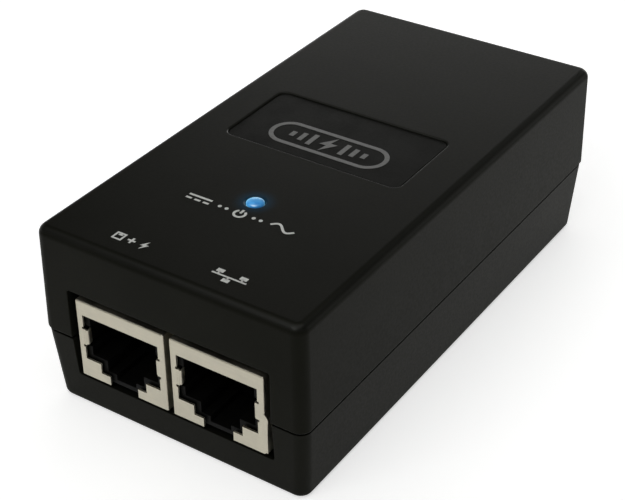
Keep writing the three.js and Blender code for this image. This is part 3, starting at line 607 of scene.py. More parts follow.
def can_sleeve():
    """Dark glossy shrink sleeve, faintly rippled."""
    made = Shader("can_sleeve")
    clouds = made.noise(3.0)
    made.set("Base Color", made.mix(made.ramp(clouds, 0, 1), (0.010, 0.013, 0.020), (0.015, 0.019, 0.028)))
    made.set("Roughness", made.ramp(clouds, 0.22, 0.34))
    made.set("Coat Weight", 0.3)
    made.set("Normal", made.bump(made.noise(0.6), 0.02, 0.4))
    return made


def floor_paint():
    made = Shader("floor_paint")
    made.set("Base Color", made.mix(made.noise(60.0, 3.0), (0.80, 0.80, 0.79), (0.84, 0.84, 0.83)))
    made.set("Roughness", made.ramp(made.noise(4.0), 0.7, 0.85))
    made.set("Emission Color", (1, 1, 1))
    glow = FLOOR_GLOW
    reflected = made.ramp(made.axis(made.place, "Y"), glow["front"], glow["rear"],
                          glow["front_y"] * MM, glow["rear_y"] * MM)
    made.set("Emission Strength", made.for_camera(reflected, glow["seen"]))
    return made


FINISHES = {
    "print_ink": ((0.60, 0.61, 0.58), (0.70, 0.71, 0.68), (0.55, 0.7), 0.5, 0.12, 0.004, 0.3),
    "badge_ink": ((0.155, 0.155, 0.15), (0.185, 0.185, 0.18), (0.55, 0.7), 0.5, 0.12, 0.004, 0.3),
    "socket_plastic": ((0.0020, 0.0021, 0.0019), (0.0032, 0.0033, 0.0030), (0.40, 0.55),
                       2.0, 0.15, 0.006, 0.08),
    "carrier_plastic": ((0.006, 0.006, 0.006), (0.010, 0.010, 0.010), (0.4, 0.55), 2.0, 0.15, 0.006),
    "contact_gold": ((0.66, 0.44, 0.14), (0.82, 0.60, 0.25), (0.20, 0.32), 1.2, 0.15, 0.0008, 0.5, 1.0),
    "lead_wire": ((0.52, 0.53, 0.54), (0.68, 0.69, 0.70), (0.2, 0.36), 1.5, 0.1, 0.004, 0.5, 1.0),
    "screw_steel": ((0.36, 0.37, 0.40), (0.52, 0.53, 0.55), (0.26, 0.42), 1.2, 0.12, 0.008, 0.5, 1.0),
    "inlet_plastic": ((0.007, 0.007, 0.007), (0.011, 0.011, 0.011), (0.32, 0.46), 4.0, 0.2, 0.008, 0.45),
    "inlet_pin": ((0.58, 0.58, 0.57), (0.72, 0.72, 0.70), (0.14, 0.28), 2.0, 0.15, 0.003, 0.5, 1.0),
    "dark_moulding": ((0.008, 0.009, 0.010), (0.014, 0.015, 0.016), (0.4, 0.55), 2.0, 0.12, 0.01),
    "fuse_case": ((0.022, 0.015, 0.011), (0.034, 0.024, 0.018), (0.4, 0.55), 2.5, 0.2, 0.01),
    "thermistor_coat": ((0.010, 0.045, 0.020), (0.018, 0.066, 0.030), (0.3, 0.5), 1.6, 0.4, 0.03),
    "yellow_box": ((0.58, 0.36, 0.020), (0.66, 0.43, 0.035), (0.3, 0.42), 4.0, 0.25, 0.006),
    "ferrite": ((0.022, 0.024, 0.027), (0.036, 0.039, 0.042), (0.55, 0.7), 1.2, 0.15, 0.02),
    "bobbin_resin": ((0.018, 0.014, 0.010), (0.028, 0.021, 0.015), (0.35, 0.5), 2.5, 0.2, 0.01),
    "sink_aluminium": ((0.52, 0.53, 0.54), (0.64, 0.65, 0.66), (0.28, 0.42), 5.0, 0.3, 0.006, 0.5, 1.0),
    "blue_coat": ((0.020, 0.065, 0.20), (0.030, 0.090, 0.26), (0.25, 0.4), 1.6, 0.4, 0.03),
}
MATERIALS = {slot: finish(slot, *row).material for slot, row in FINISHES.items()}
for made_by in (case_plastic, label_film, shield_metal, light_lens, board_laminate, enamelled_wire,
                yellow_tape, can_sleeve):
    MATERIALS[made_by.__name__] = made_by().material


# ------------------------------------------------------------------ case shells

def at_screws(name, radius, start, end):
    """An upright cylinder at each of the case screws."""
    return [prism(name, circle(radius, plan_centre(node)), "z", start, end) for node in SCREW_NODES]


def socket_opening(margin=0.0):
    size = SOCKET_OPENING
    half_x = size["half_x"] + margin
    outline = rounded_outline((-half_x, size["z0"]), (half_x, size["z1"]), size["corner_r"], 4)
    return prism("opening", outline, "y", *FRONT_WALL)


def inlet_body_low_high():
    """Corners of the inlet's body in (x, z), without its flange."""
    low = (INLET_LOW.x + INLET_FLANGE["side"], INLET_LOW.z)
    high = (INLET_HIGH.x - INLET_FLANGE["side"], INLET_HIGH.z - INLET_FLANGE["top"])
    return low, high


def inlet_opening(margin=0.0):
    low, high = inlet_body_low_high()
    gap = INLET_CLEARANCE
    corners = ((low[0] - gap - margin, low[1] - gap), (high[0] + gap + margin, high[1] + gap))
    return prism("opening", rounded_outline(*corners, INLET_OPENING_R, 6), "y", *REAR_WALL)


def near_opening(point):
    """True on the outer rims of the front and rear openings."""
    return abs(point.y) > 41.6 and point.z > 4


def lower_shell():
    low = (0.0, TUB_HALF.x - TUB_DRAFT.x, TUB_HALF.y - TUB_DRAFT.y)
    high = (TUB_TOP, TUB_HALF.x, TUB_HALF.y)
    shell = drafted_block("lower_shell", low, high, CORNER_R, fillet_low=TUB_FILLET)

    def inner(z):
        share = z / TUB_TOP
        return (z, low[1] + (high[1] - low[1]) * share - WALL, low[2] + (high[2] - low[2]) * share - WALL)

    cut(shell, drafted_block("cavity", inner(WALL), inner(TUB_TOP + 1), INNER_CORNER_R, fillet_low=0.5))
    cut(shell, socket_opening(), inlet_opening())
    soften(shell, OPENING_ROUNDING, near_opening)
    plan = (TUB_HALF.x - TONGUE["inset"], TUB_HALF.y - TONGUE["inset"])
    tongue = drafted_block("tongue", (TUB_TOP - 0.5, *plan), (TONGUE_TOP, *plan), TONGUE["corner_r"],
                           fillet_high=TONGUE["fillet"])
    room = (TUB_HALF.x - WALL, TUB_HALF.y - WALL)
    cut(tongue, drafted_block("room", (TUB_TOP - 1, *room), (TONGUE_TOP + 1, *room), INNER_CORNER_R))
    cut(tongue, socket_opening(TONGUE["from_openings"]), inlet_opening(TONGUE["from_openings"]))
    bosses = at_screws("boss", TUB_BOSS["r"], WALL - 1, TUB_BOSS["top"])
    posts = [prism("post", circle(POST_R, place, 24), "z", WALL - 0.5, POST_TOP) for place in POST_PLACES]
    join(shell, tongue, *bosses, *posts)
    wells = at_screws("well", WELL_R, -1, WELL_TOP)
    cut(shell, *wells, *at_screws("hole", TUB_BOSS["hole_r"], 0, TUB_BOSS["top"] + 1))
    soften(shell, 0.18, lambda point: point.z < 0.05, sharper_than=60)
    return fitted(shell, "case", "case_plastic", "lower_case")


def upper_shell():
    low = (LID_BOTTOM, LID_HALF.x, LID_HALF.y)
    high = (LID_TOP, LID_HALF.x - LID_DRAFT.x, LID_HALF.y - LID_DRAFT.y)
    shell = drafted_block("upper_shell", low, high, CORNER_R, LIP_FILLET, LID_FILLET)
    wall_low = WALL + LID_HALF.x - TUB_HALF.x
    cavity_low = (LID_BOTTOM - 1, low[1] - wall_low, low[2] - wall_low)
    cavity_high = (CEILING, high[1] - WALL, high[2] - WALL)
    cut(shell, drafted_block("cavity", cavity_low, cavity_high, INNER_CORNER_R, fillet_high=0.4))
    plan = (TUB_HALF.x - REBATE["inset"], TUB_HALF.y - REBATE["inset"])
    top = TONGUE_TOP + REBATE["over_tongue"]
    cut(shell, drafted_block("rebate", (LID_BOTTOM - 1, *plan), (top, *plan), REBATE["corner_r"]))
    cut(shell, socket_opening(), inlet_opening())
    soften(shell, OPENING_ROUNDING, near_opening)

    rib = SOCKET_RIB
    plate = block("rib", (-rib["half_x"], rib["y0"], LID_LOW.z), (rib["half_x"], rib["y1"], CEILING + 0.5))
    gap = block("gap", (-rib["gap_half_x"], rib["y0"] - 1, LID_LOW.z - 1),
                (rib["gap_half_x"], rib["y1"] + 1, rib["gap_top"]))
    cut(plate, gap)
    join(shell, plate, *at_screws("boss", LID_BOSS["r"], LID_BOSS["bottom"], CEILING + 0.5))
    cut(shell, *at_screws("hole", LID_BOSS["hole_r"], LID_BOSS["bottom"] - 1, LID_BOSS["hole_top"]))

    pocket_low = (LABEL_LOW.x - POCKET_CLEARANCE, LABEL_LOW.y - POCKET_CLEARANCE)
    pocket_high = (LABEL_HIGH.x + POCKET_CLEARANCE, LABEL_HIGH.y + POCKET_CLEARANCE)
    pocket = prism("pocket", rounded_outline(pocket_low, pocket_high, POCKET_R, 10), "z",
                   LID_TOP - POCKET_DEPTH, LID_TOP + 1)
    lens_hole = prism("lens_hole", circle(LENS_HOLE_R, LENS_CENTRE.xy), "z", CEILING - 1, LID_TOP + 1)
    cut(shell, pocket, lens_hole)
    on_lid = LID_TOP - 0.02
    soften(shell, RIM_FILLET, lambda point: point.z > on_lid and abs(point.y) < 30 and abs(point.x) < 18,
           segments=4, sharper_than=60)
    return fitted(shell, "case", "case_plastic", "upper_case")


# ------------------------------------------------------------------ lid details

PRINT_THICKNESS = 0.03
PRINT_SINK = 0.01
WAVE_STEPS = 32


def badge_label():
    radius = POCKET_R - POCKET_CLEARANCE
    rings = [rounded_ring(LABEL_HALF, radius, LABEL_LOW.z, LABEL_CENTRE)]
    for below, inset in LABEL_EDGE:
        half = (LABEL_HALF.x - inset, LABEL_HALF.y - inset)
        rings.append(rounded_ring(half, radius - inset, LABEL_HIGH.z - below, LABEL_CENTRE))
    return fitted(lofted("badge_film", rings), "case", "label_film", "badge_label")


def status_light():
    flange_r = (LENS_HIGH.x - LENS_LOW.x) / 2
    z0 = LENS_LOW.z
    shoulder = z0 + LENS_FLANGE_HEIGHT
    dome_z = LENS_HIGH.z - LENS_DOME_HEIGHT
    profile = [(0, z0), (flange_r - 0.1, z0), (flange_r, z0 + 0.1), (flange_r, shoulder - 0.1)]
    profile += [(flange_r - 0.1, shoulder), (LENS_R, shoulder)]
    flatter = LENS_DOME_HEIGHT / LENS_R
    profile += [(r, dome_z + z * flatter) for r, z in arc(LENS_R, 0, 90, steps=14)[:-1]]
    profile.append((0, LENS_HIGH.z))
    lens = turned("status_lens", profile, (LENS_CENTRE.x, LENS_CENTRE.y, 0))
    return fitted(lens, "case", "light_lens", "status_light_lens")


def hoop(name, outer, inner, z0, z1):
    """A flat closed band between two outlines that have the same number of points."""
    corners = ((outer, z0), (outer, z1), (inner, z1), (inner, z0))
    return lofted(name, [[(x, y, z) for x, y in outline] for outline, z in corners], looped=True)


def moved(outline, x, y, size=1.0):
    return [(x + u * size, y + v * size) for u, v in outline]


def bar(width, height, x, y):
    """The outline of a rectangle around a point."""
    u, v = width / 2, height / 2
    return [(x - u, y - v), (x + u, y - v), (x + u, y + v), (x - u, y + v)]


BOLT = [(0.12, 0.5), (-0.3, -0.08), (-0.04, -0.08), (-0.12, -0.5), (0.3, 0.1), (0.04, 0.1)]
PLUS = [(-0.1, -0.4), (0.1, -0.4), (0.1, -0.1), (0.4, -0.1), (0.4, 0.1), (0.1, 0.1),
        (0.1, 0.4), (-0.1, 0.4), (-0.1, 0.1), (-0.4, 0.1), (-0.4, -0.1), (-0.1, -0.1)]


def printed(name, base_z, ink, outlines, hoops=()):
    """Ink on a flat surface: separate thin shapes as one piece that rides on the case."""
    z0 = base_z - PRINT_SINK
    z1 = base_z + PRINT_THICKNESS
    shapes = [prism("shape", outline, "z", z0, z1) for outline in outlines]
    shapes += [hoop("shape", outer, inner, z0, z1) for outer, inner in hoops]
    piece = fitted(gather(name, shapes), "case", "label_film")
    piece.data.materials[0] = MATERIALS[ink]
    return piece


def power_socket_mark():
    """Network node, plus, bolt: data with power added."""
    x, y = -8.4, -38.6
    side, line, step = 1.7, 0.3, 2.2
    inside = side - 2 * line
    hoops = [(bar(side, side, x - step, y), bar(inside, inside, x - step, y))]
    outlines = [bar(0.7, line, x - step, y + 0.35), moved(PLUS, x, y, 1.6), moved(BOLT, x + step, y, 2.1)]
    return printed("print_power_socket", LID_TOP, "print_ink", outlines, hoops)


def data_socket_mark():
    """Three stations on a shared line."""
    x, y = 8.0, -38.5
    line = 0.28
    outlines = [bar(5.6, line, x, y)]
    for step, side in ((-1, 1), (0, -1), (1, 1)):
        station_x = x + 1.9 * step
        outlines.append(bar(line, 0.6, station_x, y + side * 0.35))
        outlines.append(bar(1.15, 0.7, station_x, y + side * 0.8))
    return printed("print_data_socket", LID_TOP, "print_ink", outlines)


def power_light_mark():
    """Direct-current bars, a power ring, an alternating-current wave, with dots between them."""
    y = -24.9
    line = 0.38
    gap_angle = 38
    ring = strip(arc(0.85, 90 + gap_angle, 450 - gap_angle, (0, y - 0.1), 40), line)
    bars_x = -7.2
    outlines = [ring, bar(line, 0.95, 0, y + 0.5), bar(4.0, line, bars_x, y + 0.45)]
    for step in (-1, 0, 1):
        outlines.append(bar(1.0, line, bars_x + 1.5 * step, y - 0.45))
    shares = [i / WAVE_STEPS for i in range(WAVE_STEPS + 1)]
    wave = [(5.2 + 4.0 * share, y + 0.7 * math.sin(2 * math.pi * share)) for share in shares]
    outlines.append(strip(wave, line))
    for side in (-1, 1):
        for step in (0, 1):
            outlines.append(moved(circle(0.3, steps=16), side * (2.35 + 1.2 * step), y))
    return printed("print_power_light", LID_TOP, "print_ink", outlines)


def badge_mark():
    """A bolt between bars inside an oblong ring."""
    x, y = LABEL_CENTRE.x, LABEL_CENTRE.y - 2.4
    half_x, half_y, line = 10.3, 3.3, 0.75

    def ring(inset):
        corner = (half_x - inset, half_y - inset)
        return moved(rounded_outline((-corner[0], -corner[1]), corner, corner[1] - 0.01, 16), x, y)

    outlines = [moved(BOLT, x, y, 4.6)]
    for side in (-1, 1):
        for step, length in enumerate((3.2, 2.3, 1.4)):
            outlines.append(bar(0.8, length, x + side * (2.9 + 1.75 * step), y))
    return printed("print_badge", LABEL_HIGH.z, "badge_ink", outlines, [(ring(0), ring(line))])


# ------------------------------------------------------------------ sockets
# Sizes are in the socket's own frame: x from its middle, y from its face, z up from the board.

SHIELD_HALF_X = 7.9
SHEET = 0.3
BEND_R = 0.24
WINDOW = {"half_x": 6.8, "top": 10.9, "sill": 3.15}
LATCH_STEP = {"half_x": 4.15, "z": 1.5}
LATCH_SLOT_HALF_X = 2.55
PEG = {"y0": 8.0, "y1": 9.6}

# Folded earth fingers. The line is (inwards from the fold, y).
FINGER = {"z0": 5.65, "z1": 8.4, "fold_x": 6.55, "thickness": 0.25, "notch": 0.4}
FINGER_LINE = [(0, 0.15), (0.2, 0.22), (0.27, 0.5), (0.15, 1.0)]

# The earth leaf on the outer side. The line is (outwards from the side, z).
LEAF = {"front_left": 0.7, "front_right": 0.0, "back": 3.0, "thickness": 0.25}
LEAF_LINE = [(-0.15, 6.9), (0.12, 6.62), (0.42, 6.1), (0.36, 4.9), (0.32, 2.6), (0.32, 0.3)]

# Spaces in the housing, each as (half x, y0, y1, z0, z1), and a rib of the comb between the wires.
HOUSING_PLACE = {"half_x": 7.4, "y0": 0.55, "y1": 17.9, "z0": 0.2, "z1": 12.8}
HOUSING_SPACES = {
    "plug": (5.95, 0, 13.6, 3.8, 10.4),
    "latch_step": (3.3, 0, 11.0, 1.9, 3.9),
    "latch_slot": (1.75, 0, 8.0, 1.0, 2.0),
    "finger_rooms": (7.0, 0, 5.4, 5.3, 8.75),
    "sled_bed": (5.0, 1.9, 18.5, 11.0, 13.5),
    "sled_back": (5.0, 14.5, 18.5, -1, 12),
    "wire_slots": (4.4, 1.9, 13.2, 10.3, 11.1),
}
COMB_RIB = {"half_x": 0.15, "y0": 11.4, "y1": 13.8, "z0": 6.4, "z1": 10.6}

CARRIER = {"half_x": 4.8, "front": 3.0, "block_y": 14.8, "back": 17.9, "bottom": 0.3,
           "lead_top": 11.45, "top": 12.4}
TAIL_ROWS = (15.1, 17.6)
TAIL_HALF_Y = 0.2
CONTACTS = 8
CONTACT_PITCH = 1.02
CONTACT_WIDTH = 0.42
CONTACT_THICKNESS = 0.3
HAIRPIN = {"y": 2.75, "z": 10.95, "r": 0.35, "start": 60}
ARM_SLOPE = 21.5
ARM_LENGTH = 9.2
# The curl at the end of an arm: its centre and the wire's tip, both from the end of the straight.
CURL = {"r": 0.6, "centre": (-0.12, 0.62), "end": 300}
TIP = (0.75, 0.05)


def contact_x(index):
    """Middle of a contact, counted from 0 at the left."""
    return (index - (CONTACTS - 1) / 2) * CONTACT_PITCH


class SocketFrame:
    """A socket's own frame, and its pieces drawn in it."""

    def __init__(self, prefix):
        self.prefix = prefix
        shield_low, shield_high = box_mm(prefix + "_socket_shield")
        board_top = box_mm("main_board")[1].z
        self.x = plan_centre(prefix + "_socket_housing")[0]
        self.origin = (self.x, shield_low.y, board_top)
        self.height = shield_high.z - board_top
        self.depth = shield_high.y - shield_low.y
        self.legs_z = shield_low.z - board_top
        self.tails_z = box_mm(prefix + "_contact_carrier")[0].z - board_top

    def block(self, low, high):
        return block("part", low, high, self.origin)

    def room(self, half_x, y0, y1, z0, z1, x=0, name="part"):
        """A block that reaches half_x to both sides of x."""
        return block(name, (x - half_x, y0, z0), (x + half_x, y1, z1), self.origin)

    def prism(self, outline, axis, start, end, name="part"):
        return prism(name, outline, axis, start, end, self.origin)


def smooth(points, steps=6):
    """A curve through points, with each stretch cut into steps."""
    points = [Vector(point) for point in points]
    ends = [2 * points[0] - points[1]] + points + [2 * points[-1] - points[-2]]
    line = []
    for a, b, c, d in zip(ends, ends[1:], ends[2:], ends[3:]):
        for step in range(steps):
            t = step / steps
            line.append(0.5 * (2 * b + (c - a) * t + (2 * a - 5 * b + 4 * c - d) * t ** 2
                               + (3 * b - a - 3 * c + d) * t ** 3))
    line.append(points[-1])
    return [tuple(point) for point in line]


def shield_box(place):
    """The folded box with bent edges and its stepped window."""
    depth, height = place.depth, place.height
    shell = place.room(SHIELD_HALF_X, 0, depth, 0, height, name=place.prefix + "_shield")
    room = place.room(SHIELD_HALF_X - SHEET, SHEET, depth - SHEET, -1, height - SHEET)

    def folds(inset):
        def test(point):
            across, inwards, up = (a - b for a, b in zip(point, place.origin))
            near = inset + 0.05
            side = abs(across) > SHIELD_HALF_X - near
            end = inwards < near or inwards > depth - near
            return side + end + (up > height - near) >= 2
        return test

    soften(shell, BEND_R, folds(0), segments=4)
    soften(room, BEND_R - SHEET / 2, folds(SHEET), segments=3)
    cut(shell, room)
    slot, step, edge = LATCH_SLOT_HALF_X, LATCH_STEP["half_x"], WINDOW["half_x"]
    half_window = [(-slot, -1), (-slot, LATCH_STEP["z"]), (-step, LATCH_STEP["z"]),
                   (-step, WINDOW["sill"]), (-edge, WINDOW["sill"]), (-edge, WINDOW["top"])]
    window = half_window + [(-x, z) for x, z in reversed(half_window)]
    return cut(shell, place.prism(window, "y", -1, 1))


def finger_and_peg(place, side):
    """The folded earth finger and the board peg of one side."""
    z0, z1, fold_x = FINGER["z0"], FINGER["z1"], FINGER["fold_x"]
    x0, x1 = sorted((side * WINDOW["half_x"], side * (fold_x - 0.1)))
    tab = place.block((x0, 0.02, z0), (x1, SHEET - 0.02, z1))
    line = smooth([(side * (fold_x - inwards), y) for inwards, y in FINGER_LINE])
    finger = place.prism(strip(line, FINGER["thickness"]), "z", z0 + 0.15, z1 - 0.15)
    x0, x1 = sorted((side * SHIELD_HALF_X, side * (SHIELD_HALF_X - SHEET)))
    peg = place.block((x0, PEG["y0"], place.legs_z), (x1, PEG["y1"], 0.5))
    return [tab, finger, peg]


def earth_leaf(place):
    """The leaf on the outer side, and the flange that ties it to the frame."""
    out = 1 if place.x > 0 else -1
    line = smooth([(out * (SHIELD_HALF_X + outwards), z) for outwards, z in LEAF_LINE])
    front = LEAF["front_right"] if out > 0 else LEAF["front_left"]
    flange = [(line[0][0], LEAF_LINE[-1][1])] + line
    leaf = place.prism(strip(line, LEAF["thickness"]), "y", front, LEAF["back"])
    return [leaf, place.prism(flange, "y", front, front + SHEET)]


def socket_shield(place):
    shell = shield_box(place)
    join(shell, *finger_and_peg(place, -1), *finger_and_peg(place, 1), *earth_leaf(place))
    edge, notch = WINDOW["half_x"], FINGER["notch"]
    relief = []
    for side in (-1, 1):
        for z0 in (FINGER["z0"] - notch, FINGER["z1"]):
            x0, x1 = sorted((side * (edge - 0.3), side * (edge + 0.25)))
            relief.append(place.block((x0, -1, z0), (x1, 1, z0 + notch)))
    cut(shell, *relief)
    return fitted(shell, "case", "shield_metal", place.prefix + "_socket_shield")


def socket_housing(place):
    body = place.room(**HOUSING_PLACE, name=place.prefix + "_housing")
    cut(body, *[place.room(*space) for space in HOUSING_SPACES.values()])
    join(body, *[place.room(**COMB_RIB, x=contact_x(index - 0.5)) for index in range(1, CONTACTS)])
    soften(body, 0.1, lambda point: point.y - place.origin[1] < 5.5, sharper_than=60)
    return fitted(body, "case", "socket_plastic", place.prefix + "_socket_housing")


def contact_carrier(place):
    """The moulded sled, and the fixed runs and tails of the contacts that it holds."""
    size = CARRIER
    sled = place.room(size["half_x"], size["front"], size["back"], size["lead_top"], size["top"],
                      name=place.prefix + "_carrier")
    join(sled, place.room(size["half_x"], size["block_y"], size["back"], size["bottom"], size["top"] - 0.1))
    soften(sled, 0.12, sharper_than=60)
    node = place.prefix + "_contact_carrier"
    fitted(sled, "case", "carrier_plastic", node)
    leads = []
    half = CONTACT_WIDTH / 2
    run_z = size["lead_top"] - CONTACT_THICKNESS
    for i in range(CONTACTS):
        x = contact_x(i)
        tail_y = TAIL_ROWS[i % 2]
        run_y = (size["front"] + 0.3, size["block_y"] + 0.5)
        leads.append(place.room(half, *run_y, run_z, size["lead_top"] + 0.1, x))
        leads.append(place.room(half, tail_y - TAIL_HALF_Y, tail_y + TAIL_HALF_Y, place.tails_z, 1.0, x))
    metal = gather(place.prefix + "_contact_leads", leads)
    soften(metal, 0.07, sharper_than=60)
    return fitted(metal, "case", "contact_gold", node)


def spring_contact(place, index):
    """A hairpin, then a straight arm that slopes down and back, with its tip curled up."""
    path = arc(HAIRPIN["r"], HAIRPIN["start"], 270 - ARM_SLOPE, (HAIRPIN["y"], HAIRPIN["z"]), 14)
    slope = math.radians(ARM_SLOPE)
    knee_y = path[-1][0] + ARM_LENGTH * math.cos(slope)
    knee_z = path[-1][1] - ARM_LENGTH * math.sin(slope)
    curl_centre = (knee_y + CURL["centre"][0], knee_z + CURL["centre"][1])
    path += arc(CURL["r"], 270 - ARM_SLOPE, CURL["end"], curl_centre, 6)
    path.append((knee_y + TIP[0], knee_z + TIP[1]))
    x = contact_x(index)
    wire = place.prism(strip(path, CONTACT_THICKNESS), "x", x - CONTACT_WIDTH / 2, x + CONTACT_WIDTH / 2,
                       name=f"{place.prefix}_wire_{index + 1}")
    soften(wire, 0.08, sharper_than=60)
    return fitted(wire, place.prefix + "_contacts", "contact_gold", f"{place.prefix}_contact_{index + 1}")


# ------------------------------------------------------------------ mains inlet

INLET_CAVITY_Y = 31.3
INLET_CENTRE_Z = 14.2
INLET_LOBE_R = 4.0
INLET_MIDDLE_R = 3.0
INLET_CORNER_R = 1.2
SLEEVE_CLEARANCE = 0.3
PINS = ("line", "neutral", "earth")
PIN_TIP = {"length": 1.5, "narrower": 0.42}
PIN_BLADE = {"half_x": 0.9, "length": 0.8, "above_pin": 0.6}


def pin_place(name):
    """Centre of an inlet pin in x and z, and its radius. The pin is the widest thing in its node's x."""
    low, high = box_mm("inlet_pin_" + name)
    radius = (high.x - low.x) / 2
    return (low.x + high.x) / 2, high.z - radius, radius


def inlet():
    low, high = inlet_body_low_high()
    body = prism("inlet", rounded_outline(low, high, INLET_CORNER_R), "y", INLET_LOW.y, INLET_HIGH.y)
    flange = INLET_FLANGE
    flange_outline = rounded_outline((low[0] - flange["side"], low[1]),
                                     (high[0] + flange["side"], high[1] + flange["top"]), INLET_CORNER_R)
    join(body, prism("flange", flange_outline, "y", flange["y0"], flange["y1"]))
    mouth = INLET_HIGH.y + 1
    lobes = [prism("lobe", circle(INLET_MIDDLE_R, (0, INLET_CENTRE_Z)), "y", INLET_CAVITY_Y, mouth)]
    sleeves = []
    for name in PINS:
        x, z, radius = pin_place(name)
        lobes.append(prism("lobe", circle(INLET_LOBE_R, (x, z)), "y", INLET_CAVITY_Y, mouth))
        sleeves.append(prism("sleeve", circle(radius + SLEEVE_CLEARANCE, (x, z)), "y",
                             INLET_LOW.y - 1, INLET_CAVITY_Y + 1))
    cut(body, join(*lobes))
    cut(body, *sleeves)
    soften(body, 0.3, lambda point: point.y > INLET_HIGH.y - 0.01, segments=3, sharper_than=60)
    return fitted(body, "case", "inlet_plastic", "inlet_housing")


def inlet_pin(name):
    low, high = box_mm("inlet_pin_" + name)
    x, z, radius = pin_place(name)
    back_y = low.y + 0.2
    shoulder_y = high.y - PIN_TIP["length"]
    profile = [(0, back_y), (radius, back_y), (radius, shoulder_y)]
    for u, v in arc(1, 15, 90, steps=5):
        profile.append((radius - PIN_TIP["narrower"] * (1 - u), shoulder_y + PIN_TIP["length"] * v))
    profile.append((0, high.y))
    pin = turned("pin_" + name, profile, (x, 0, z), axis="y")
    size = PIN_BLADE
    blade = block("blade", (x - size["half_x"], low.y, low.z),
                  (x + size["half_x"], low.y + size["length"], z + size["above_pin"]))
    soften(blade, 0.12, sharper_than=60)
    join(pin, blade)
    return fitted(pin, "case", "inlet_pin", "inlet_pin_" + name)


# ------------------------------------------------------------------ case screws

SCREW = {"head_r": 2.75, "head_z1": 3.3, "crown": 1.1, "flat_r": 1.2375, "shank_r": 1.25, "taper": 2.4}
RECESS = {"half_width": 0.36, "half_length": 1.5, "depth": 1.3}


def case_screw(node):
    low, high = box_mm(node)
    x, y = plan_centre(node)
    size = SCREW
    profile = [(0, low.z), (size["flat_r"], low.z)]
    profile += [(size["head_r"] * v, low.z + size["crown"] * (1 - u)) for u, v in arc(1, 45, 90, steps=3)]
    profile += [(size["head_r"], size["head_z1"] - 0.1), (size["head_r"] - 0.1, size["head_z1"])]
    profile += [(size["shank_r"], size["head_z1"]), (size["shank_r"], high.z - size["taper"]), (0, high.z)]
    screw = turned(node.replace("case_screw", "screw"), profile, (x, y, 0))
    long, wide = RECESS["half_length"], RECESS["half_width"]
    top = low.z + RECESS["depth"]
    for half_x, half_y in ((long, wide), (wide, long)):
        cut(screw, block("slot", (x - half_x, y - half_y, 0), (x + half_x, y + half_y, top)))
    soften(screw, 0.08, lambda point: point.z < top + 0.1, sharper_than=50)
    return fitted(screw, "case", "screw_steel", node)


# ------------------------------------------------------------------ parts inside

CARRIED = {
    "lead_wire": ["status_light_anode_leg", "status_light_cathode_leg"],
    "board_laminate": ["main_board"],
    "fuse_case": ["fuse"],
    "thermistor_coat": ["surge_thermistor"],
    "yellow_box": ["suppression_capacitor"],
    "ferrite": ["line_choke_core", "transformer_core_front", "transformer_core_rear"],
    "enamelled_wire": ["line_choke_winding_1", "line_choke_winding_2"],
    "dark_moulding": ["bridge_rectifier", "output_diode", "controller_chip", "output_choke", "optocoupler"],
    "can_sleeve": ["bulk_capacitor", "output_capacitor_1", "output_capacitor_2"],
    "bobbin_resin": ["transformer_bobbin"],
    "yellow_tape": ["transformer_winding"],
    "sink_aluminium": ["heat_sink"],
    "blue_coat": ["safety_capacitor"],
}


def carried_node(node, slot):
    """A CAD node shown as it is, with softened edges and its own finish."""
    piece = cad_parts[node]
    dress(piece, slot)
    rounding = piece.modifiers.new("soft_edges", "BEVEL")
    rounding.width = 0.1 * MM
    rounding.segments = 2
    rounding.limit_method = "ANGLE"
    rounding.angle_limit = math.radians(40)
    rounding.harden_normals = True


# ------------------------------------------------------------------ stage

def stage_floor():
    reach = 900
    corners = [(-reach, -reach, 0), (reach, -reach, 0), (reach, reach, 0), (-reach, reach, 0)]
    floor = mesh_object("floor", corners, [(0, 1, 2, 3)])
    floor.data.materials.append(floor_paint().material)
    floor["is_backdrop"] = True


def softbox(name, place, aim, size, watts):
    light = bpy.data.lights.new(name, "AREA")
    light.shape = "RECTANGLE"
    light.size = size[0] * MM
    light.size_y = size[1] * MM
    light.energy = watts
    holder = bpy.data.objects.new(name, light)
    holder.location = Vector(place) * MM
    holder.rotation_euler = (Vector(aim) - Vector(place)).to_track_quat("-Z", "Y").to_euler()
    bpy.context.scene.collection.objects.link(holder)


SKY = {"front": 0.20, "rear": 0.34, "top": 0.18, "seen": 0.93}


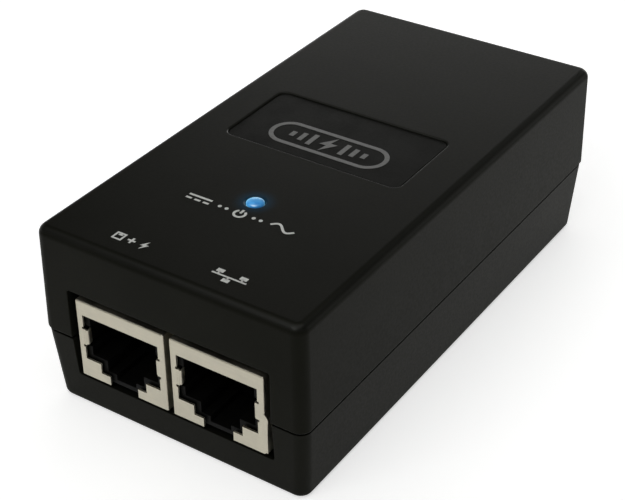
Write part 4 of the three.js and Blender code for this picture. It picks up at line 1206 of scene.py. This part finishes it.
def sky():
    """A dim studio: brightest low behind the object, dark overhead and in front, pale to the camera."""
    world = bpy.data.worlds.new("studio")
    world.use_nodes = True
    nodes = Nodes(world.node_tree)
    direction = nodes.node("ShaderNodeTexCoord").outputs["Generated"]
    behind = nodes.ramp(nodes.axis(direction, "Y"), SKY["front"], SKY["rear"], -0.3, 0.9, "SMOOTHSTEP")
    low = nodes.ramp(nodes.axis(direction, "Z"), 1.0, SKY["top"], 0.1, 0.6, "SMOOTHSTEP")
    backdrop = world.node_tree.nodes["Background"]
    strength = nodes.for_camera(nodes.math("MULTIPLY", behind, low), SKY["seen"])
    nodes.feed(backdrop.inputs["Strength"], strength)
    nodes.feed(backdrop.inputs["Color"], (1.0, 1.0, 0.95))
    bpy.context.scene.world = world


def studio():
    sky()
    softbox("overhead", (0, -40, 560), (0, 0, 0), (700, 700), 1.5)
    softbox("rear_left", (-120, 320, 85), (0, 20, 30), (300, 110), 0.30)
    softbox("front", (-20, -370, 400), (0, -43, 30), (340, 130), 0.50)


CAMERA = {"target": (-1.83, -3.97, 11.614), "azimuth": 33.838, "elevation": 33.936, "roll": -0.526,
          "distance": 236.0, "lens": 86.12}


def camera():
    azimuth = math.radians(CAMERA["azimuth"])
    elevation = math.radians(CAMERA["elevation"])
    level = math.cos(elevation)
    towards = Vector((math.sin(azimuth) * level, -math.cos(azimuth) * level, math.sin(elevation)))
    data = bpy.data.cameras.new("camera")
    data.lens = CAMERA["lens"]
    data.clip_start = 5 * MM
    holder = bpy.data.objects.new("camera", data)
    holder.location = (Vector(CAMERA["target"]) + towards * CAMERA["distance"]) * MM
    aim = (-towards).to_track_quat("-Z", "Y") @ Quaternion((0, 0, 1), math.radians(CAMERA["roll"]))
    holder.rotation_euler = aim.to_euler()
    bpy.context.scene.collection.objects.link(holder)
    bpy.context.scene.camera = holder


# ------------------------------------------------------------------ assembly

lower_shell()
upper_shell()
badge_label()
status_light()
power_socket_mark()
data_socket_mark()
power_light_mark()
badge_mark()
for socket in (SocketFrame("poe"), SocketFrame("lan")):
    socket_shield(socket)
    socket_housing(socket)
    contact_carrier(socket)
    for number in range(CONTACTS):
        spring_contact(socket, number)
inlet()
for pin in PINS:
    inlet_pin(pin)
for screw_node in SCREW_NODES:
    case_screw(screw_node)
for material_slot, cad_nodes in CARRIED.items():
    for cad_node in cad_nodes:
        carried_node(cad_node, material_slot)
stage_floor()
studio()
camera()
bpy.context.scene.view_settings.view_transform = "Standard"

as_lists = {"cad": cad_bounds, "visual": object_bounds()}
{key: [list(corner) for corner in corners] for key, corners in as_lists.items()}
